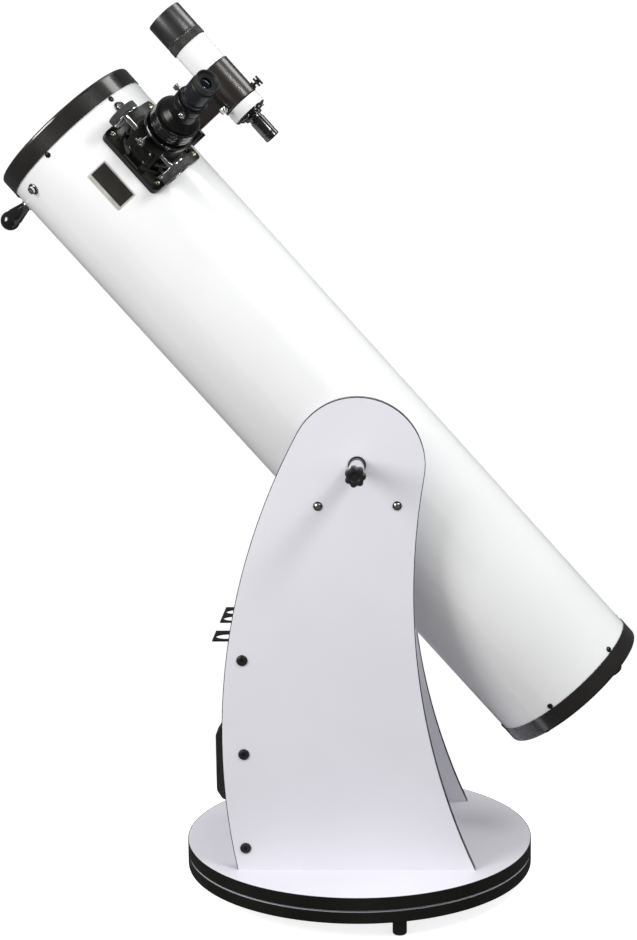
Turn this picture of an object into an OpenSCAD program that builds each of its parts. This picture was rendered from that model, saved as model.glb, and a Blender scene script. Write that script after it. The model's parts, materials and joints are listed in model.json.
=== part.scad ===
// Dobsonian reflecting telescope: 200 mm f/6 Newtonian tube on a rocker box.
// Origin: on the ground, on the azimuth axis. +Z up; the aperture points to -X and up.
// The carry handle side of the rocker box faces -X. Left is -Y, right is +Y.

/* [Pose] */
// Elevation of the optical tube above the horizon
elevation = 48.5; // [30:0.5:65]

/* [Ground board and rotating base board] */
// Radius of both round boards, edge band included
board_r = 259; // [250:1:280]
// Thickness of the ground board
ground_t = 16; // [12:1:18]
// Thickness of the rotating base board
base_t = 18; // [15:1:22]
// Height of the feet
foot_h = 27; // [22:1:35]
// Radius of each foot
foot_r = 10; // [8:1:14]
// Radius of the circle that the feet stand on
foot_circle_r = 235; // [200:5:238]
// Gap between the two boards, which the slide pads fill
board_gap = 3; // [2:0.5:5]

/* [Rocker box] */
// Thickness of the side and front boards
panel_t = 16; // [14:1:18]
// Clear width between the side boards
box_inner_w = 277; // [276:1:284]
// Height of the altitude axis above the ground
pivot_z = 649; // [620:1:680]
// Distance of the altitude axis from the azimuth axis
pivot_x = 6; // [0:1:12]
// Radius of the rounded top of each side board
top_r = 94.5; // [90:0.5:98]
// Height of the front board's top edge
front_top_z = 405; // [396:1:420]

/* [Optical tube] */
// Outer radius of the tube
tube_r = 117.5; // [117:0.5:118]
// Wall of the tube
tube_wall = 1; // [0.8:0.1:1.8]
// Outer radius of the end rings
ring_r = 119; // [118.5:0.5:120]
// From the altitude axis to the front end of the tube
front_t = 634; // [620:1:640]
// From the altitude axis to the rear end of the tube
rear_t = 476.5; // [470:0.5:490]
// Width of the front ring
front_ring_w = 28; // [24:1:32]
// Width of the rear ring
rear_ring_w = 26.5; // [24:0.5:30]
// Diameter of the main mirror
mirror_d = 203; // [200:1:206]

/* [Focuser and finder] */
// From the altitude axis to the focuser axis, along the tube
focuser_t = 514.5; // [505:0.5:525]
// Angle of the focuser around the tube, from the left side towards the top
focuser_a = 44.8; // [35:0.1:50]
// Radius of the focuser's draw tube
draw_r = 27.05; // [27:0.01:27.1]
// Radius of the focus knobs
knob_r = 22; // [18:1:23]
// Distance of the finder's axis from the tube's axis
finder_h = 210.5; // [208:0.5:214]
// Radius of the finder's white tube
finder_r = 26.2; // [26:0.1:26.5]

/* [Hidden] */
$fn = 96;

SHEET_WHITE = "white";
LAMINATE = "gainsboro";
BLACK = [0.08, 0.08, 0.09];
DARK = [0.16, 0.16, 0.17];
STEEL = [0.78, 0.78, 0.8];
NYLON = [0.93, 0.93, 0.9];
GLASS = [0.75, 0.85, 0.9];
MIRROR = [0.88, 0.9, 0.94];

play = 0.3;            // gap between pieces that move past each other
fit = 0.05;            // radial clearance of a shaft in its hole
band_t = 1;            // thickness of the edge bands

// Heights in the base
ground_z = foot_h;
ground_top = ground_z + ground_t;
base_z = ground_top + board_gap;
base_top = base_z + base_t;
foot_angles = [-75, 45, 165];
azimuth_bolt_r = 6;
bush_r = 9;
bush_flange = [14, 2];

// Rocker box
box_inner_y = box_inner_w / 2;
box_outer_y = box_inner_y + panel_t;
left_edge_r = 928;     // large radius of the panel's handle-side edge
left_edge_z = 250.5;
right_edge_r = 961;    // large radius of the panel's hollow edge
right_edge_z = 461;
front_x = -158.8;      // middle plane of the front board
front_bolt_z = [96, 235, 372];
bearing_r = 62.5;
support_r = 16.5;
support_w = 11;
support_dx = 55;
support_d = bearing_r + support_r + play;
support_z = pivot_z - sqrt(support_d * support_d - support_dx * support_dx);
wood_screw_r = 3.2;
fine_fn = 900;         // facets of the side boards' very large arcs

// Handle and eyepiece rack on the front board
front_face_x = front_x - panel_t / 2;
handle_z = [112, 243];
handle_depth = 47;
handle_w = 30;
handle_screw_z = [handle_z[0] + 7, handle_z[1] - 7];
rack_z = 389;
rack_y = [-105, 106];
rack_reach = 39;
rack_plate_t = 2;
rack_screw_y = [-90, -20, 60];
rack_holes = [76, 32, -80];
rack_hole_x = 19.2;    // from the rack's front edge to the middle of its holes
rack_hole_r = 16.1;
face_screw_r = 1.85;

// Tension knob, on the altitude axis
tension_stud_r = 5;
tension_sleeve_r = 10.8;
tension_sleeve_y = [box_outer_y + 2.8, box_outer_y + 92];
tension_knob_y = [tension_sleeve_y[1] + play, tension_sleeve_y[1] + 20];

// Optical tube
front_seam_t = front_t - front_ring_w;
rear_seam_t = rear_ring_w - rear_t;
tube_in_r = tube_r - tube_wall;
ring_screw_angles = [for (i = [0:5]) 60 * i - 16];
spider_t = 586;
vane_t = 1.2;
tube_knob_a = -85;
hub_r = 20;
hub_t = [spider_t - 16, spider_t + 6];
vane_z = [-12, 6];     // front and rear edges of a vane, from the nuts
mirror_r = mirror_d / 2;
mirror_t0 = rear_seam_t + 13;
mirror_thick = 25;
collimation_pcr = 75;
cell_angles = [90, 210, 330];
secondary_r = 25;
secondary_thick = 9;

// Focuser, heights measured from the tube's axis
saddle_r = 126.2;
focuser_half = [52, 53.5];
focuser_dy = 2;         // the base and the shaft sit this far forward of the draw tube's axis
housing_r = 34;
housing_top = 168;
gear_module = 1;
pinion_teeth = 10;
pinion_pitch_r = gear_module * pinion_teeth / 2;
rack_pitch_x = draw_r + 1.75;
shaft_x = -(rack_pitch_x + pinion_pitch_r);
shaft_z = 154;
shaft_r = 3.5;
knob_y = 51.5;          // from the middle of the shaft to the middle of each knob
tooth_pitch = PI * gear_module;
draw_z = [106, 176];
collar_top = 196;
eyepiece_r = 15.88;
adapter_top = 240;
block_x = [-46, -22];  // block around the shaft, its side faces
block_y = 24;
block_z = [128, 161];
lock_y = 8;
lock_z = 163.7;
lock_x = block_x[0] - 1;
lock_gap = 0.4;         // between the draw tube and the end of the slackened lock screw
light_hole_r = 30.5;   // hole through the tube under the draw tube
base_screw = [42, 44.5, 118.6];
adapter_screw_z = 233;
adapter_screw_x = 22.4;
adapter_angles = [90, 195];
thumb_r = 2;           // shank of the small thumbscrews
lock_r = 2.5;          // shank of the larger ones

// Finder, lengths measured along the tube from the altitude axis
finder_ring_t = [485, 547];
finder_ring_r = 27.5;
finder_ring_in = 24.5;
finder_waist_r = 22.5;
finder_pivot_t = 540;
finder_screw_t = 491;
finder_front_t = 593.3;
finder_rear_t = 466.7;
cell_t = [605.9, 648.5];
shoe_t = [488, 548];
dovetail_h = 128;      // height of the dovetail's base above the tube's axis
dovetail_t = 12;       // height of the dovetail's walls
shoe_w = 24;           // half width of the shoe
shoe_screw_t = 518;
bracket_stem_t = [496, 540];
finder_screw_angles = [0, 90];
plunger_angle = 225;
finder_screw_r = 2;
plunger_r = 3;
cell_neck_r = 25.2;    // thread that the front cell and its lock ring turn on

// ---------- shared shapes ----------

module slab(x, y, z) {
    translate([x[0], y[0], z[0]])
        cube([x[1] - x[0], y[1] - y[0], z[1] - z[0]]);
}

module disc(z, r) {
    translate([0, 0, z[0]])
        cylinder(h = z[1] - z[0], r = r);
}

module ring(z, r_out, r_in) {
    difference() {
        disc(z, r_out);
        disc([z[0] - 1, z[1] + 1], r_in);
    }
}

module cross_slot(size, depth) {
    translate([-size / 2, -size / 8, -depth])
        cube([size, size / 4, 2 * depth]);
    translate([-size / 8, -size / 2, -depth])
        cube([size / 4, size, 2 * depth]);
}

// Pan head with a cross recess: the shank runs down from z = 0, the head stands on z = 0
module pan_screw(shank_r, length, head_r, head_h) {
    disc([-length, 0.01], shank_r);
    difference() {
        intersection() {
            disc([0, head_h], head_r);
            translate([0, 0, head_h - 1.6 * head_r])
                sphere(r = 1.6 * head_r);
        }
        translate([0, 0, head_h])
            cross_slot(head_r * 1.2, head_h * 0.5);
    }
}

// Round head with finger grooves along its side
module lobed_knob(h, r, lobes, groove_r) {
    difference() {
        cylinder(h = h, r = r);
        for (i = [0:lobes - 1])
            rotate([0, 0, 360 / lobes * i])
                translate([r + groove_r * 0.35, 0, -1])
                    cylinder(h = h + 2, r = groove_r, $fn = 32);
    }
}

// Thumbscrew along +Z: shank, then a grooved head above z = 0
module thumb_screw(shank_r, length, head_r, head_h) {
    disc([-length, 0.01], shank_r);
    disc([0, 1.5], head_r * 0.6);
    translate([0, 0, 1.49])
        lobed_knob(head_h - 1.49, head_r, 10, head_r * 0.16);
}

// Frame on the tube: +Z along the tube to the front, -Y outwards at angle a
module on_tube(t = 0, a = 0) {
    translate([pivot_x, 0, pivot_z])
        rotate([0, elevation - 90, 0])
            translate([0, 0, t])
                rotate([0, 0, a])
                    children();
}

// Frame on the focuser: +Z outwards from the tube's axis, +Y along the tube
module on_focuser() {
    on_tube(focuser_t, focuser_a)
        rotate([90, 0, 0])
            children();
}

// Frame on the finder: +Z along its axis, -Y away from the tube
module on_finder() {
    on_tube(0, 90)
        translate([0, -finder_h, 0])
            children();
}

// Frame on the altitude axis: +Z outwards on the left (s = 1) or right (s = -1)
module on_pivot(s) {
    translate([pivot_x, 0, pivot_z])
        rotate([90 * s, 0, 0])
            children();
}

module both_sides() {
    children();
    mirror([0, 1, 0])
        children();
}

// ---------- ground board ----------

module at_feet(r = foot_circle_r) {
    for (a = foot_angles)
        rotate([0, 0, a])
            translate([r, 0, 0])
                children();
}

module ground_board() {
    color(LAMINATE)
        difference() {
            disc([ground_z, ground_top], board_r - band_t);
            disc([ground_z - 1, ground_top + 1], azimuth_bolt_r + fit);
            at_feet()
                disc([ground_z - 1, ground_z + 10], 4);
        }
}

module ground_edge_band() {
    color(BLACK)
        ring([ground_z, ground_top], board_r, board_r - band_t);
}

module feet() {
    round_r = 3;
    color(BLACK)
        at_feet() {
            rotate_extrude()
                polygon([[0, 0], [foot_r - round_r, 0],
                    for (a = [-75:15:0]) [foot_r - round_r + round_r * cos(a), round_r + round_r * sin(a)],
                    [foot_r, foot_h], [0, foot_h]]);
            disc([foot_h - 0.01, foot_h + 9.5], 3.9);
        }
}

module azimuth_pads() {
    color(NYLON)
        at_feet(foot_circle_r - 20)
            slab([-15, 15], [-25, 25], [ground_top, base_z - play]);
}

module azimuth_bolt() {
    washer_z = base_top + bush_flange[1] + play;
    nut_z = washer_z + 2;
    color(STEEL) {
        disc([ground_z - 7.5, ground_z], 10.5, $fn = 6);
        disc([ground_z - 0.01, nut_z + 15], azimuth_bolt_r);
        ring([washer_z, nut_z], 15, azimuth_bolt_r + fit);
        difference() {
            translate([0, 0, nut_z])
                cylinder(h = 10, r = 11, $fn = 6);
            disc([nut_z - 1, nut_z + 11], azimuth_bolt_r + fit);
        }
    }
}

// ---------- rocker box ----------

module base_screw_places() {
    for (x = [-120, 0, 120], s = [-1, 1])
        translate([x, s * (box_inner_y + panel_t / 2), base_z])
            children();
    for (y = [-85, 0, 85])
        translate([front_x, y, base_z])
            children();
}

module front_screw_places() {
    for (z = front_bolt_z)
        translate([front_x, -box_outer_y, z])
            rotate([90, 0, 0])
                children();
}

// Room for a box screw: shank hole and head recess
module box_screw_hole() {
    disc([-56, 1], wood_screw_r + fit);
    disc([-4, 1], 5.2);
}

module box_screw() {
    disc([-55, -2], wood_screw_r);
    disc([-3.9, -0.4], 5.1);
}

module base_board() {
    color(LAMINATE)
        difference() {
            disc([base_z, base_top], board_r - band_t);
            disc([base_z - 1, base_top + 1], bush_r);
            base_screw_places()
                mirror([0, 0, 1])
                    box_screw_hole();
        }
}

module azimuth_bush() {
    color(NYLON)
        difference() {
            union() {
                disc([base_z, base_top], bush_r);
                disc([base_top, base_top + bush_flange[1]], bush_flange[0]);
            }
            disc([base_z - 1, base_top + 5], azimuth_bolt_r + fit);
        }
}

// Outline of a side board in X and Z, drawn in by inset on all but the bottom edge
module side_outline(inset = 0) {
    pivot = [pivot_x, pivot_z];
    r_top = top_r - inset;
    left_dz = left_edge_z - pivot_z;
    left_c = pivot + [sqrt(pow(left_edge_r - top_r, 2) - left_dz * left_dz), left_dz];
    right_dz = right_edge_z - pivot_z;
    right_c = pivot + [sqrt(pow(right_edge_r + top_r, 2) - right_dz * right_dz), right_dz];
    left_meet = pivot - r_top * (left_c - pivot) / norm(left_c - pivot);
    right_meet = pivot + r_top * (right_c - pivot) / norm(right_c - pivot);
    far = 240;
    translate(pivot)
        circle(r = r_top, $fn = fine_fn / 4);
    difference() {
        intersection() {
            translate(left_c)
                circle(r = left_edge_r - inset, $fn = fine_fn);
            polygon([left_meet, right_meet, [far, right_meet[1]], [far, base_top],
                [-far, base_top], [-far, left_meet[1]]]);
        }
        translate(right_c)
            circle(r = right_edge_r + inset, $fn = fine_fn);
    }
}

// Extrudes an X-Z outline from y0 to y1
module upright(y0, y1) {
    translate([0, y1, 0])
        rotate([90, 0, 0])
            linear_extrude(y1 - y0)
                children();
}

module side_panel_shape() {
    difference() {
        upright(-box_outer_y, -box_inner_y)
            side_outline(band_t);
        on_pivot(1)
            disc([0, 400], tension_stud_r + 1.5);
        support_screw_places()
            disc([-30, 1], 3.05);
        front_screw_places()
            box_screw_hole();
        base_screw_places()
            mirror([0, 0, 1])
                box_screw_hole();
    }
}

module left_side_panel() {
    color(SHEET_WHITE)
        side_panel_shape();
}

module right_side_panel() {
    color(SHEET_WHITE)
        mirror([0, 1, 0])
            side_panel_shape();
}

module front_board() {
    color(SHEET_WHITE)
        difference() {
            slab([front_x - panel_t / 2, front_x + panel_t / 2], [-box_inner_y, box_inner_y],
                [base_top, front_top_z - band_t]);
            both_sides()
                front_screw_places()
                    box_screw_hole();
            base_screw_places()
                mirror([0, 0, 1])
                    box_screw_hole();
            front_face_screw_places()
                disc([-12.5, 20], face_screw_r);
        }
}

module box_edge_bands() {
    color(BLACK) {
        ring([base_z, base_top], board_r, board_r - band_t);
        both_sides()
            upright(-box_outer_y, -box_inner_y)
                difference() {
                    side_outline(0);
                    side_outline(band_t);
                }
        slab([front_x - panel_t / 2, front_x + panel_t / 2], [-box_inner_y, box_inner_y],
            [front_top_z - band_t, front_top_z]);
    }
}

module box_screws() {
    color(STEEL) {
        both_sides()
            front_screw_places()
                box_screw();
        base_screw_places()
            mirror([0, 0, 1])
                box_screw();
    }
}

module bolt_caps() {
    color(BLACK)
        both_sides()
            front_screw_places()
                intersection() {
                    disc([0, 2.4], 8);
                    translate([0, 0, 2.4 - 18])
                        sphere(r = 18);
                }
}

// ---------- handle and rack on the front board ----------

// Screws into the front board's face; +Z points out of the board
module front_face_screw_places() {
    for (z = handle_screw_z)
        translate([front_face_x - 4, 0, z])
            rotate([0, -90, 0])
                children();
    for (y = rack_screw_y)
        translate([front_face_x - 2, y, rack_z - 10])
            rotate([0, -90, 0])
                children();
}

// Loop handle: two feet on the board and a bowed grip bar
module carry_handle() {
    bar = 13;
    bevel = 10;
    low = handle_z[0];
    high = handle_z[1];
    out = -handle_depth;
    difference() {
        translate([front_face_x, handle_w / 2, 0])
            rotate([90, 0, 0])
                color(BLACK)
                    linear_extrude(handle_w)
                        polygon([[0, low], [-4, low], [-4, low + 14], [-10, low + 14],
                            [out + bevel, low + 6], [out, low + 6 + bevel * 1.6],
                            [out, high - 6 - bevel * 1.6], [out + bevel, high - 6],
                            [-10, high - 14], [-4, high - 14], [-4, high], [0, high],
                            [0, high - 30], [-12, high - 30], [out + bar + 4, high - 26],
                            [out + bar, high - 34], [out + bar, low + 34],
                            [out + bar + 4, low + 26], [-12, low + 30], [0, low + 30]]);
        front_face_screw_places()
            disc([-30, 20], face_screw_r);
    }
}

// Angle plate with three round holes and an open slot with round inner corners
module eyepiece_rack() {
    slot_y = [-47, 9];
    corner = 7;
    x_out = front_face_x - rack_reach;
    slot_x = front_face_x - 7;
    through = [rack_z - 5, rack_z + 5];
    color(BLACK)
        difference() {
            union() {
                slab([x_out, front_face_x], rack_y, [rack_z - rack_plate_t, rack_z]);
                slab([front_face_x - rack_plate_t, front_face_x], rack_y, [rack_z - 20, rack_z]);
            }
            for (y = rack_holes)
                translate([x_out + rack_hole_x, y, 0])
                    disc(through, rack_hole_r);
            slab([x_out - 1, slot_x - corner], slot_y, through);
            slab([x_out, slot_x], [slot_y[0] + corner, slot_y[1] - corner], through);
            for (y = [slot_y[0] + corner, slot_y[1] - corner])
                translate([slot_x - corner, y, 0])
                    disc(through, corner);
            front_face_screw_places()
                disc([-30, 20], face_screw_r);
        }
}

module support_screw_places() {
    for (s = [-1, 1])
        translate([pivot_x + s * support_dx, -box_outer_y, support_z])
            rotate([90, 0, 0])
                children();
}

module cross_head_screws() {
    color(STEEL) {
        both_sides()
            support_screw_places()
                pan_screw(3, 24, 4.6, 2.6);
        front_face_screw_places()
            pan_screw(1.8, 12, 3.6, 2.2);
    }
}

module support_cylinders() {
    color(NYLON)
        both_sides()
            difference() {
                support_screw_places()
                    disc([-panel_t - support_w, -panel_t], support_r);
                support_screw_places()
                    disc([-panel_t - 8.1, 1], 3.05);
            }
}

// ---------- optical tube ----------

module tube() {
    color(SHEET_WHITE)
        difference() {
            on_tube()
                ring([rear_seam_t, front_seam_t], tube_r, tube_in_r);
            on_focuser()
                disc([90, 140], light_hole_r);
            tube_screw_places()
                disc([-8, 8], 2.05);
            inner_screw_places()
                disc([-8, 8], 2.55);
            spider_nut_places()
                disc([-8, 8], 2.55);
            on_tube(spider_t, tube_knob_a)
                rotate([90, 0, 0])
                    disc([100, 130], 3.05);
        }
}

// Half section of an end ring: s = 1 for the front, -1 for the rear
module ring_section(seam, end, s) {
    polygon([[tube_in_r - 2.5, seam - 8 * s], [tube_in_r - 0.05, seam - 8 * s],
        [tube_in_r - 0.05, seam], [ring_r, seam], [ring_r, end - 4 * s],
        [ring_r - 0.6, end - 2 * s], [ring_r - 2, end - 0.6 * s], [ring_r - 4, end],
        [tube_in_r - 2.5, end]]);
}

module front_ring() {
    color(BLACK)
        difference() {
            on_tube()
                rotate_extrude($fn = 180)
                    ring_section(front_seam_t, front_t, 1);
            tube_screw_places()
                disc([-8, 8], 2.05);
        }
}

module rear_ring() {
    web_t = 4;
    color(BLACK)
        difference() {
            on_tube() {
                rotate_extrude($fn = 180)
                    ring_section(rear_seam_t, -rear_t, -1);
                ring([-rear_t, -rear_t + web_t], tube_in_r - 2, 92);
                disc([-rear_t, -rear_t + web_t], 26);
                for (a = cell_angles)
                    rotate([0, 0, a])
                        slab([0, 95], [-16, 16], [-rear_t, -rear_t + web_t]);
            }
            tube_screw_places()
                disc([-8, 8], 2.05);
            for (i = [0:2])
                on_collimation(i)
                    disc([-20, 20], 3 + fit);
        }
}

// Screws that hold the end rings; +Z points out of the tube
module tube_screw_places() {
    for (t = [front_seam_t - 4.2, rear_seam_t + 4.2], a = ring_screw_angles)
        on_tube(t, a)
            rotate([90, 0, 0])
                translate([0, 0, tube_r])
                    children();
}

// Screws from inside the tube into the bearings and the finder's shoe; +Z points inwards
module inner_screw_places() {
    bearing_places = [for (t = [-38, 38], a = [-17, 17, 163, 197]) [t, a]];
    shoe_places = [[shoe_t[0] + 10, 90], [shoe_t[1] - 10, 90]];
    for (p = concat(bearing_places, shoe_places))
        on_tube(p[0], p[1])
            rotate([-90, 0, 0])
                translate([0, 0, -tube_in_r])
                    children();
}

module tube_screws() {
    color(DARK) {
        tube_screw_places()
            pan_screw(2, 3.9, 4, 2.4);
        inner_screw_places()
            translate([0, 0, 0.5])
                pan_screw(2.5, 11, 5, 3);
    }
}

module altitude_bearings() {
    color(BLACK)
        for (s = [-1, 1])
            difference() {
                on_pivot(s)
                    disc([96, box_inner_y - 1.5], bearing_r);
                on_tube()
                    disc([-90, 90], tube_r + 0.05);
                on_pivot(s)
                    disc([box_inner_y - 5, box_inner_y], bearing_r - 6);
                inner_screw_places()
                    disc([-20, 1], 2.55);
                on_pivot(s)
                    disc([box_inner_y - 18, box_inner_y], tension_stud_r + fit);
            }
}

module tension_sleeves() {
    color(STEEL)
        for (s = [-1, 1])
            on_pivot(s) {
                ring(tension_sleeve_y, tension_sleeve_r, tension_stud_r + 1.5);
                ring([box_outer_y + play, tension_sleeve_y[0]], 12.5, tension_stud_r + 1.5);
            }
}

module tension_knob(s) {
    color(BLACK)
        on_pivot(s) {
            disc([box_inner_y - 17, tension_knob_y[1] - 4], tension_stud_r);
            translate([0, 0, tension_knob_y[0]])
                lobed_knob(tension_knob_y[1] - tension_knob_y[0], 14.5, 7, 3.2);
        }
}

module left_tension_knob() {
    tension_knob(1);
}

module right_tension_knob() {
    tension_knob(-1);
}

module spider_nut_places() {
    for (i = [0:3])
        on_tube(spider_t, focuser_a + 90 * i)
            rotate([90, 0, 0])
                translate([0, 0, tube_r])
                    children();
}

module spider_vanes() {
    color(DARK)
        for (i = [0:3])
            on_tube(spider_t, focuser_a + 90 * i)
                difference() {
                    union() {
                        slab([-vane_t / 2, vane_t / 2], [1.8 - tube_in_r, -hub_r], vane_z);
                        slab([-4, 4], [0.6 - tube_in_r, 3 - tube_in_r], [-8, 8]);
                    }
                    rotate([90, 0, 0])
                        disc([tube_in_r - 12, tube_in_r + 2], 2.55);
                }
}

module spider_hub() {
    color(BLACK)
        difference() {
            on_tube()
                disc(hub_t, hub_r);
            on_tube() {
                disc([hub_t[0] - 1, hub_t[1] + 1], 3 + fit);
                for (a = [0, 120, 240])
                    rotate([0, 0, a])
                        translate([12, 0, 0])
                            disc([hub_t[0] - 1, hub_t[1] + 1], 2 + fit);
            }
        }
}

module spider_screws() {
    holder_top = focuser_t + 44;
    color(STEEL) {
        spider_nut_places() {
            disc([-10, 0.01], 2.5);
            ring([0.3, 1.5], 8, 2.4);
            difference() {
                disc([1.5, 6], 5.5);
                translate([0, 0, 6])
                    cross_slot(6, 2);
            }
        }
        on_tube() {
            disc([holder_top - 10, hub_t[1] + 2], 3);
            disc([hub_t[1] + 0.1, hub_t[1] + 4], 6);
            for (a = [0, 120, 240])
                rotate([0, 0, a])
                    translate([12, 0, 0]) {
                        disc([holder_top + 0.1, hub_t[1] + 2], 2);
                        disc([hub_t[1] + 0.1, hub_t[1] + 3], 3.4);
                    }
        }
    }
}

module secondary_holder() {
    top_y = 44;
    color(BLACK)
        on_focuser()
            difference() {
                rotate([-90, 0, 0])
                    disc([-50, top_y], secondary_r - 1);
                rotate([45, 0, 0])
                    slab([-60, 60], [-100, 100], [-secondary_thick - 0.1, 200]);
                rotate([-90, 0, 0])
                    disc([top_y - 11, top_y + 1], 3 + fit);
            }
}

module secondary_mirror() {
    color(MIRROR)
        on_focuser()
            intersection() {
                rotate([-90, 0, 0])
                    disc([-60, 60], secondary_r);
                rotate([45, 0, 0])
                    slab([-60, 60], [-60, 60], [-secondary_thick, 0]);
            }
}

module primary_mirror() {
    curve_r = 2400;
    top = mirror_t0 + mirror_thick;
    color(MIRROR)
        on_tube()
            difference() {
                disc([mirror_t0, top], mirror_r);
                translate([0, 0, top + sqrt(curve_r * curve_r - mirror_r * mirror_r)])
                    sphere(r = curve_r, $fn = 180);
            }
}

module mirror_cell() {
    plate = [mirror_t0 - 10, mirror_t0 - 2];
    color(DARK)
        difference() {
            on_tube() {
                ring(plate, 104, 84);
                disc(plate, 22);
                for (a = cell_angles)
                    rotate([0, 0, a]) {
                        slab([0, 90], [-14, 14], plate);
                        translate([62, 0, 0])
                            disc([mirror_t0 - 3, mirror_t0 - 0.1], 9);
                    }
                for (a = [30, 150, 270])
                    rotate([0, 0, a]) {
                        slab([mirror_r + 0.4, 107], [-9, 9], [plate[0], mirror_t0 + mirror_thick + 3.5]);
                        slab([mirror_r - 5, 107], [-9, 9],
                            [mirror_t0 + mirror_thick + 0.6, mirror_t0 + mirror_thick + 3.5]);
                    }
            }
            for (i = [0:2])
                on_collimation(i)
                    disc([-5, 60], 3 + fit);
        }
}

// Frame on collimation knob i: +Z forwards, z = 0 on the rear face of the tube
module on_collimation(i) {
    on_tube(-rear_t)
        rotate([0, 0, cell_angles[i]])
            translate([collimation_pcr, 0, 0])
                children();
}

module collimation_knob(i) {
    color(BLACK)
        on_collimation(i) {
            disc([-2, rear_ring_w + 10], 3);
            translate([0, 0, -16])
                lobed_knob(15.5, 11, 12, 1.6);
        }
}

module collimation_knob_1() {
    collimation_knob(0);
}

module collimation_knob_2() {
    collimation_knob(1);
}

module collimation_knob_3() {
    collimation_knob(2);
}

module tube_knob() {
    ball_r = 14;
    ball_h = 150.5;
    neck_r = 7;
    color(BLACK)
        on_tube(spider_t, tube_knob_a)
            rotate([90, 0, 0]) {
                translate([0, 0, ball_h])
                    sphere(r = ball_r);
                translate([0, 0, tube_r + 0.3])
                    cylinder(h = 28, r1 = neck_r, r2 = ball_r * 0.965);
                disc([tube_in_r - 4, tube_r + 1], 3);
            }
}

// ---------- focuser ----------

module rounded_column(half, corner, z) {
    for (c = [[half[0], half[1] - corner], [half[0] - corner, half[1]]])
        slab([-c[0], c[0]], [-c[1], c[1]], z);
    for (x = [-1, 1], y = [-1, 1])
        translate([x * (half[0] - corner), y * (half[1] - corner), 0])
            disc(z, corner);
}

// Cylinder about the tube's axis, seen in the focuser's frame
module about_tube(r) {
    rotate([90, 0, 0])
        disc([-150, 150], r, $fn = 180);
}

module focuser_screw_places() {
    for (x = [-1, 1], y = [-1, 1])
        translate([x * base_screw[0], focuser_dy + y * base_screw[1], base_screw[2]])
            children();
}

module focuser_base() {
    color(BLACK)
        on_focuser()
            difference() {
                intersection() {
                    translate([0, focuser_dy, 0])
                        rounded_column(focuser_half, 7, [90, 130]);
                    about_tube(saddle_r);
                }
                about_tube(tube_r + 0.05);
                disc([90, 140], light_hole_r);
                focuser_screw_places() {
                    disc([-12, 10], 2.05);
                    disc([0, 10], 5.2);
                }
            }
}

module focuser_screws() {
    color(STEEL)
        on_focuser()
            focuser_screw_places()
                pan_screw(2, 8, 4, 2.6);
}

module focuser_body() {
    color(BLACK)
        on_focuser()
            difference() {
                union() {
                    disc([116, 130], 43);
                    disc([120, housing_top], housing_r);
                    disc([housing_top - 6, housing_top], housing_r + 1.5);
                    translate([0, focuser_dy, 0])
                        slab(block_x, [-block_y, block_y], block_z);
                    for (x = [-1, 1], y = [-1, 1])
                        rotate([0, 0, atan2(y, x)])
                            slab([30, 50], [-2.5, 2.5], [120, 132]);
                }
                about_tube(saddle_r + 0.05);
                disc([100, 200], draw_r + fit);
                slab([-rack_pitch_x - 2.2, 0], [-4.2, 4.2], [100, 200]);
                translate([shaft_x, 0, shaft_z])
                    rotate([90, 0, 0]) {
                        disc([-60, 60], shaft_r + fit);
                        disc([-6.5, 6.5], pinion_pitch_r + gear_module + 0.5);
                    }
                translate([0, lock_y, lock_z])
                    rotate([0, -90, 0])
                        disc([20, 60], lock_r + fit);
            }
}

// Outline of rack teeth: half thickness is a little under a quarter pitch for backlash
module rack_teeth(z0, count) {
    half = tooth_pitch / 4 - 0.15;
    slope = tan(20) * gear_module;
    points = [for (i = [0:count - 1], k = [0:3])
        let (zc = z0 + tooth_pitch * i,
            outer = k == 1 || k == 2,
            w = half + (outer ? -slope * 0.9 : slope * 1.1))
        [outer ? -0.9 : 1.1, zc + (k < 2 ? -w : w)]];
    polygon(concat([[2.2, z0 - 3]], [[1.1, z0 - 3]], points,
        [[1.1, z0 + tooth_pitch * (count - 1) + 3]], [[2.2, z0 + tooth_pitch * (count - 1) + 3]]));
}

module pinion_outline() {
    step = 360 / pinion_teeth;
    half_at_pitch = 90 / pinion_teeth - 1.8;
    tip_r = pinion_pitch_r + 0.85;
    root_r = pinion_pitch_r - 1.15;
    circle(r = root_r + 0.05);
    for (i = [0:pinion_teeth - 1])
        rotate([0, 0, step * i])
            polygon([for (p = [[root_r - 0.6, half_at_pitch + 5.5], [pinion_pitch_r, half_at_pitch],
                [tip_r, half_at_pitch - 4.4], [tip_r, 4.4 - half_at_pitch],
                [pinion_pitch_r, -half_at_pitch], [root_r - 0.6, -half_at_pitch - 5.5]])
                p[0] * [cos(p[1]), sin(p[1])]]);
}

module drawtube() {
    rack_count = 15;
    teeth_below = 10.5;     // so that a gap of the rack faces a tooth of the pinion
    rack_z0 = shaft_z - tooth_pitch * teeth_below;
    color(DARK)
        on_focuser() {
            difference() {
                union() {
                    disc(draw_z, draw_r);
                    disc([draw_z[1] - 0.01, collar_top], 33);
                }
                disc([draw_z[0] - 1, collar_top + 1], 25.5);
            }
            translate([-rack_pitch_x, 3.5, 0])
                rotate([90, 0, 0])
                    linear_extrude(7)
                        rack_teeth(rack_z0, rack_count);
        }
}

module focus_shaft() {
    color(STEEL)
        on_focuser()
            translate([shaft_x, focuser_dy, shaft_z])
                rotate([90, 0, 0]) {
                    disc([-knob_y - 6, knob_y + 6], shaft_r);
                    translate([0, 0, focuser_dy - 5])
                        linear_extrude(10)
                            pinion_outline();
                }
}

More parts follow.
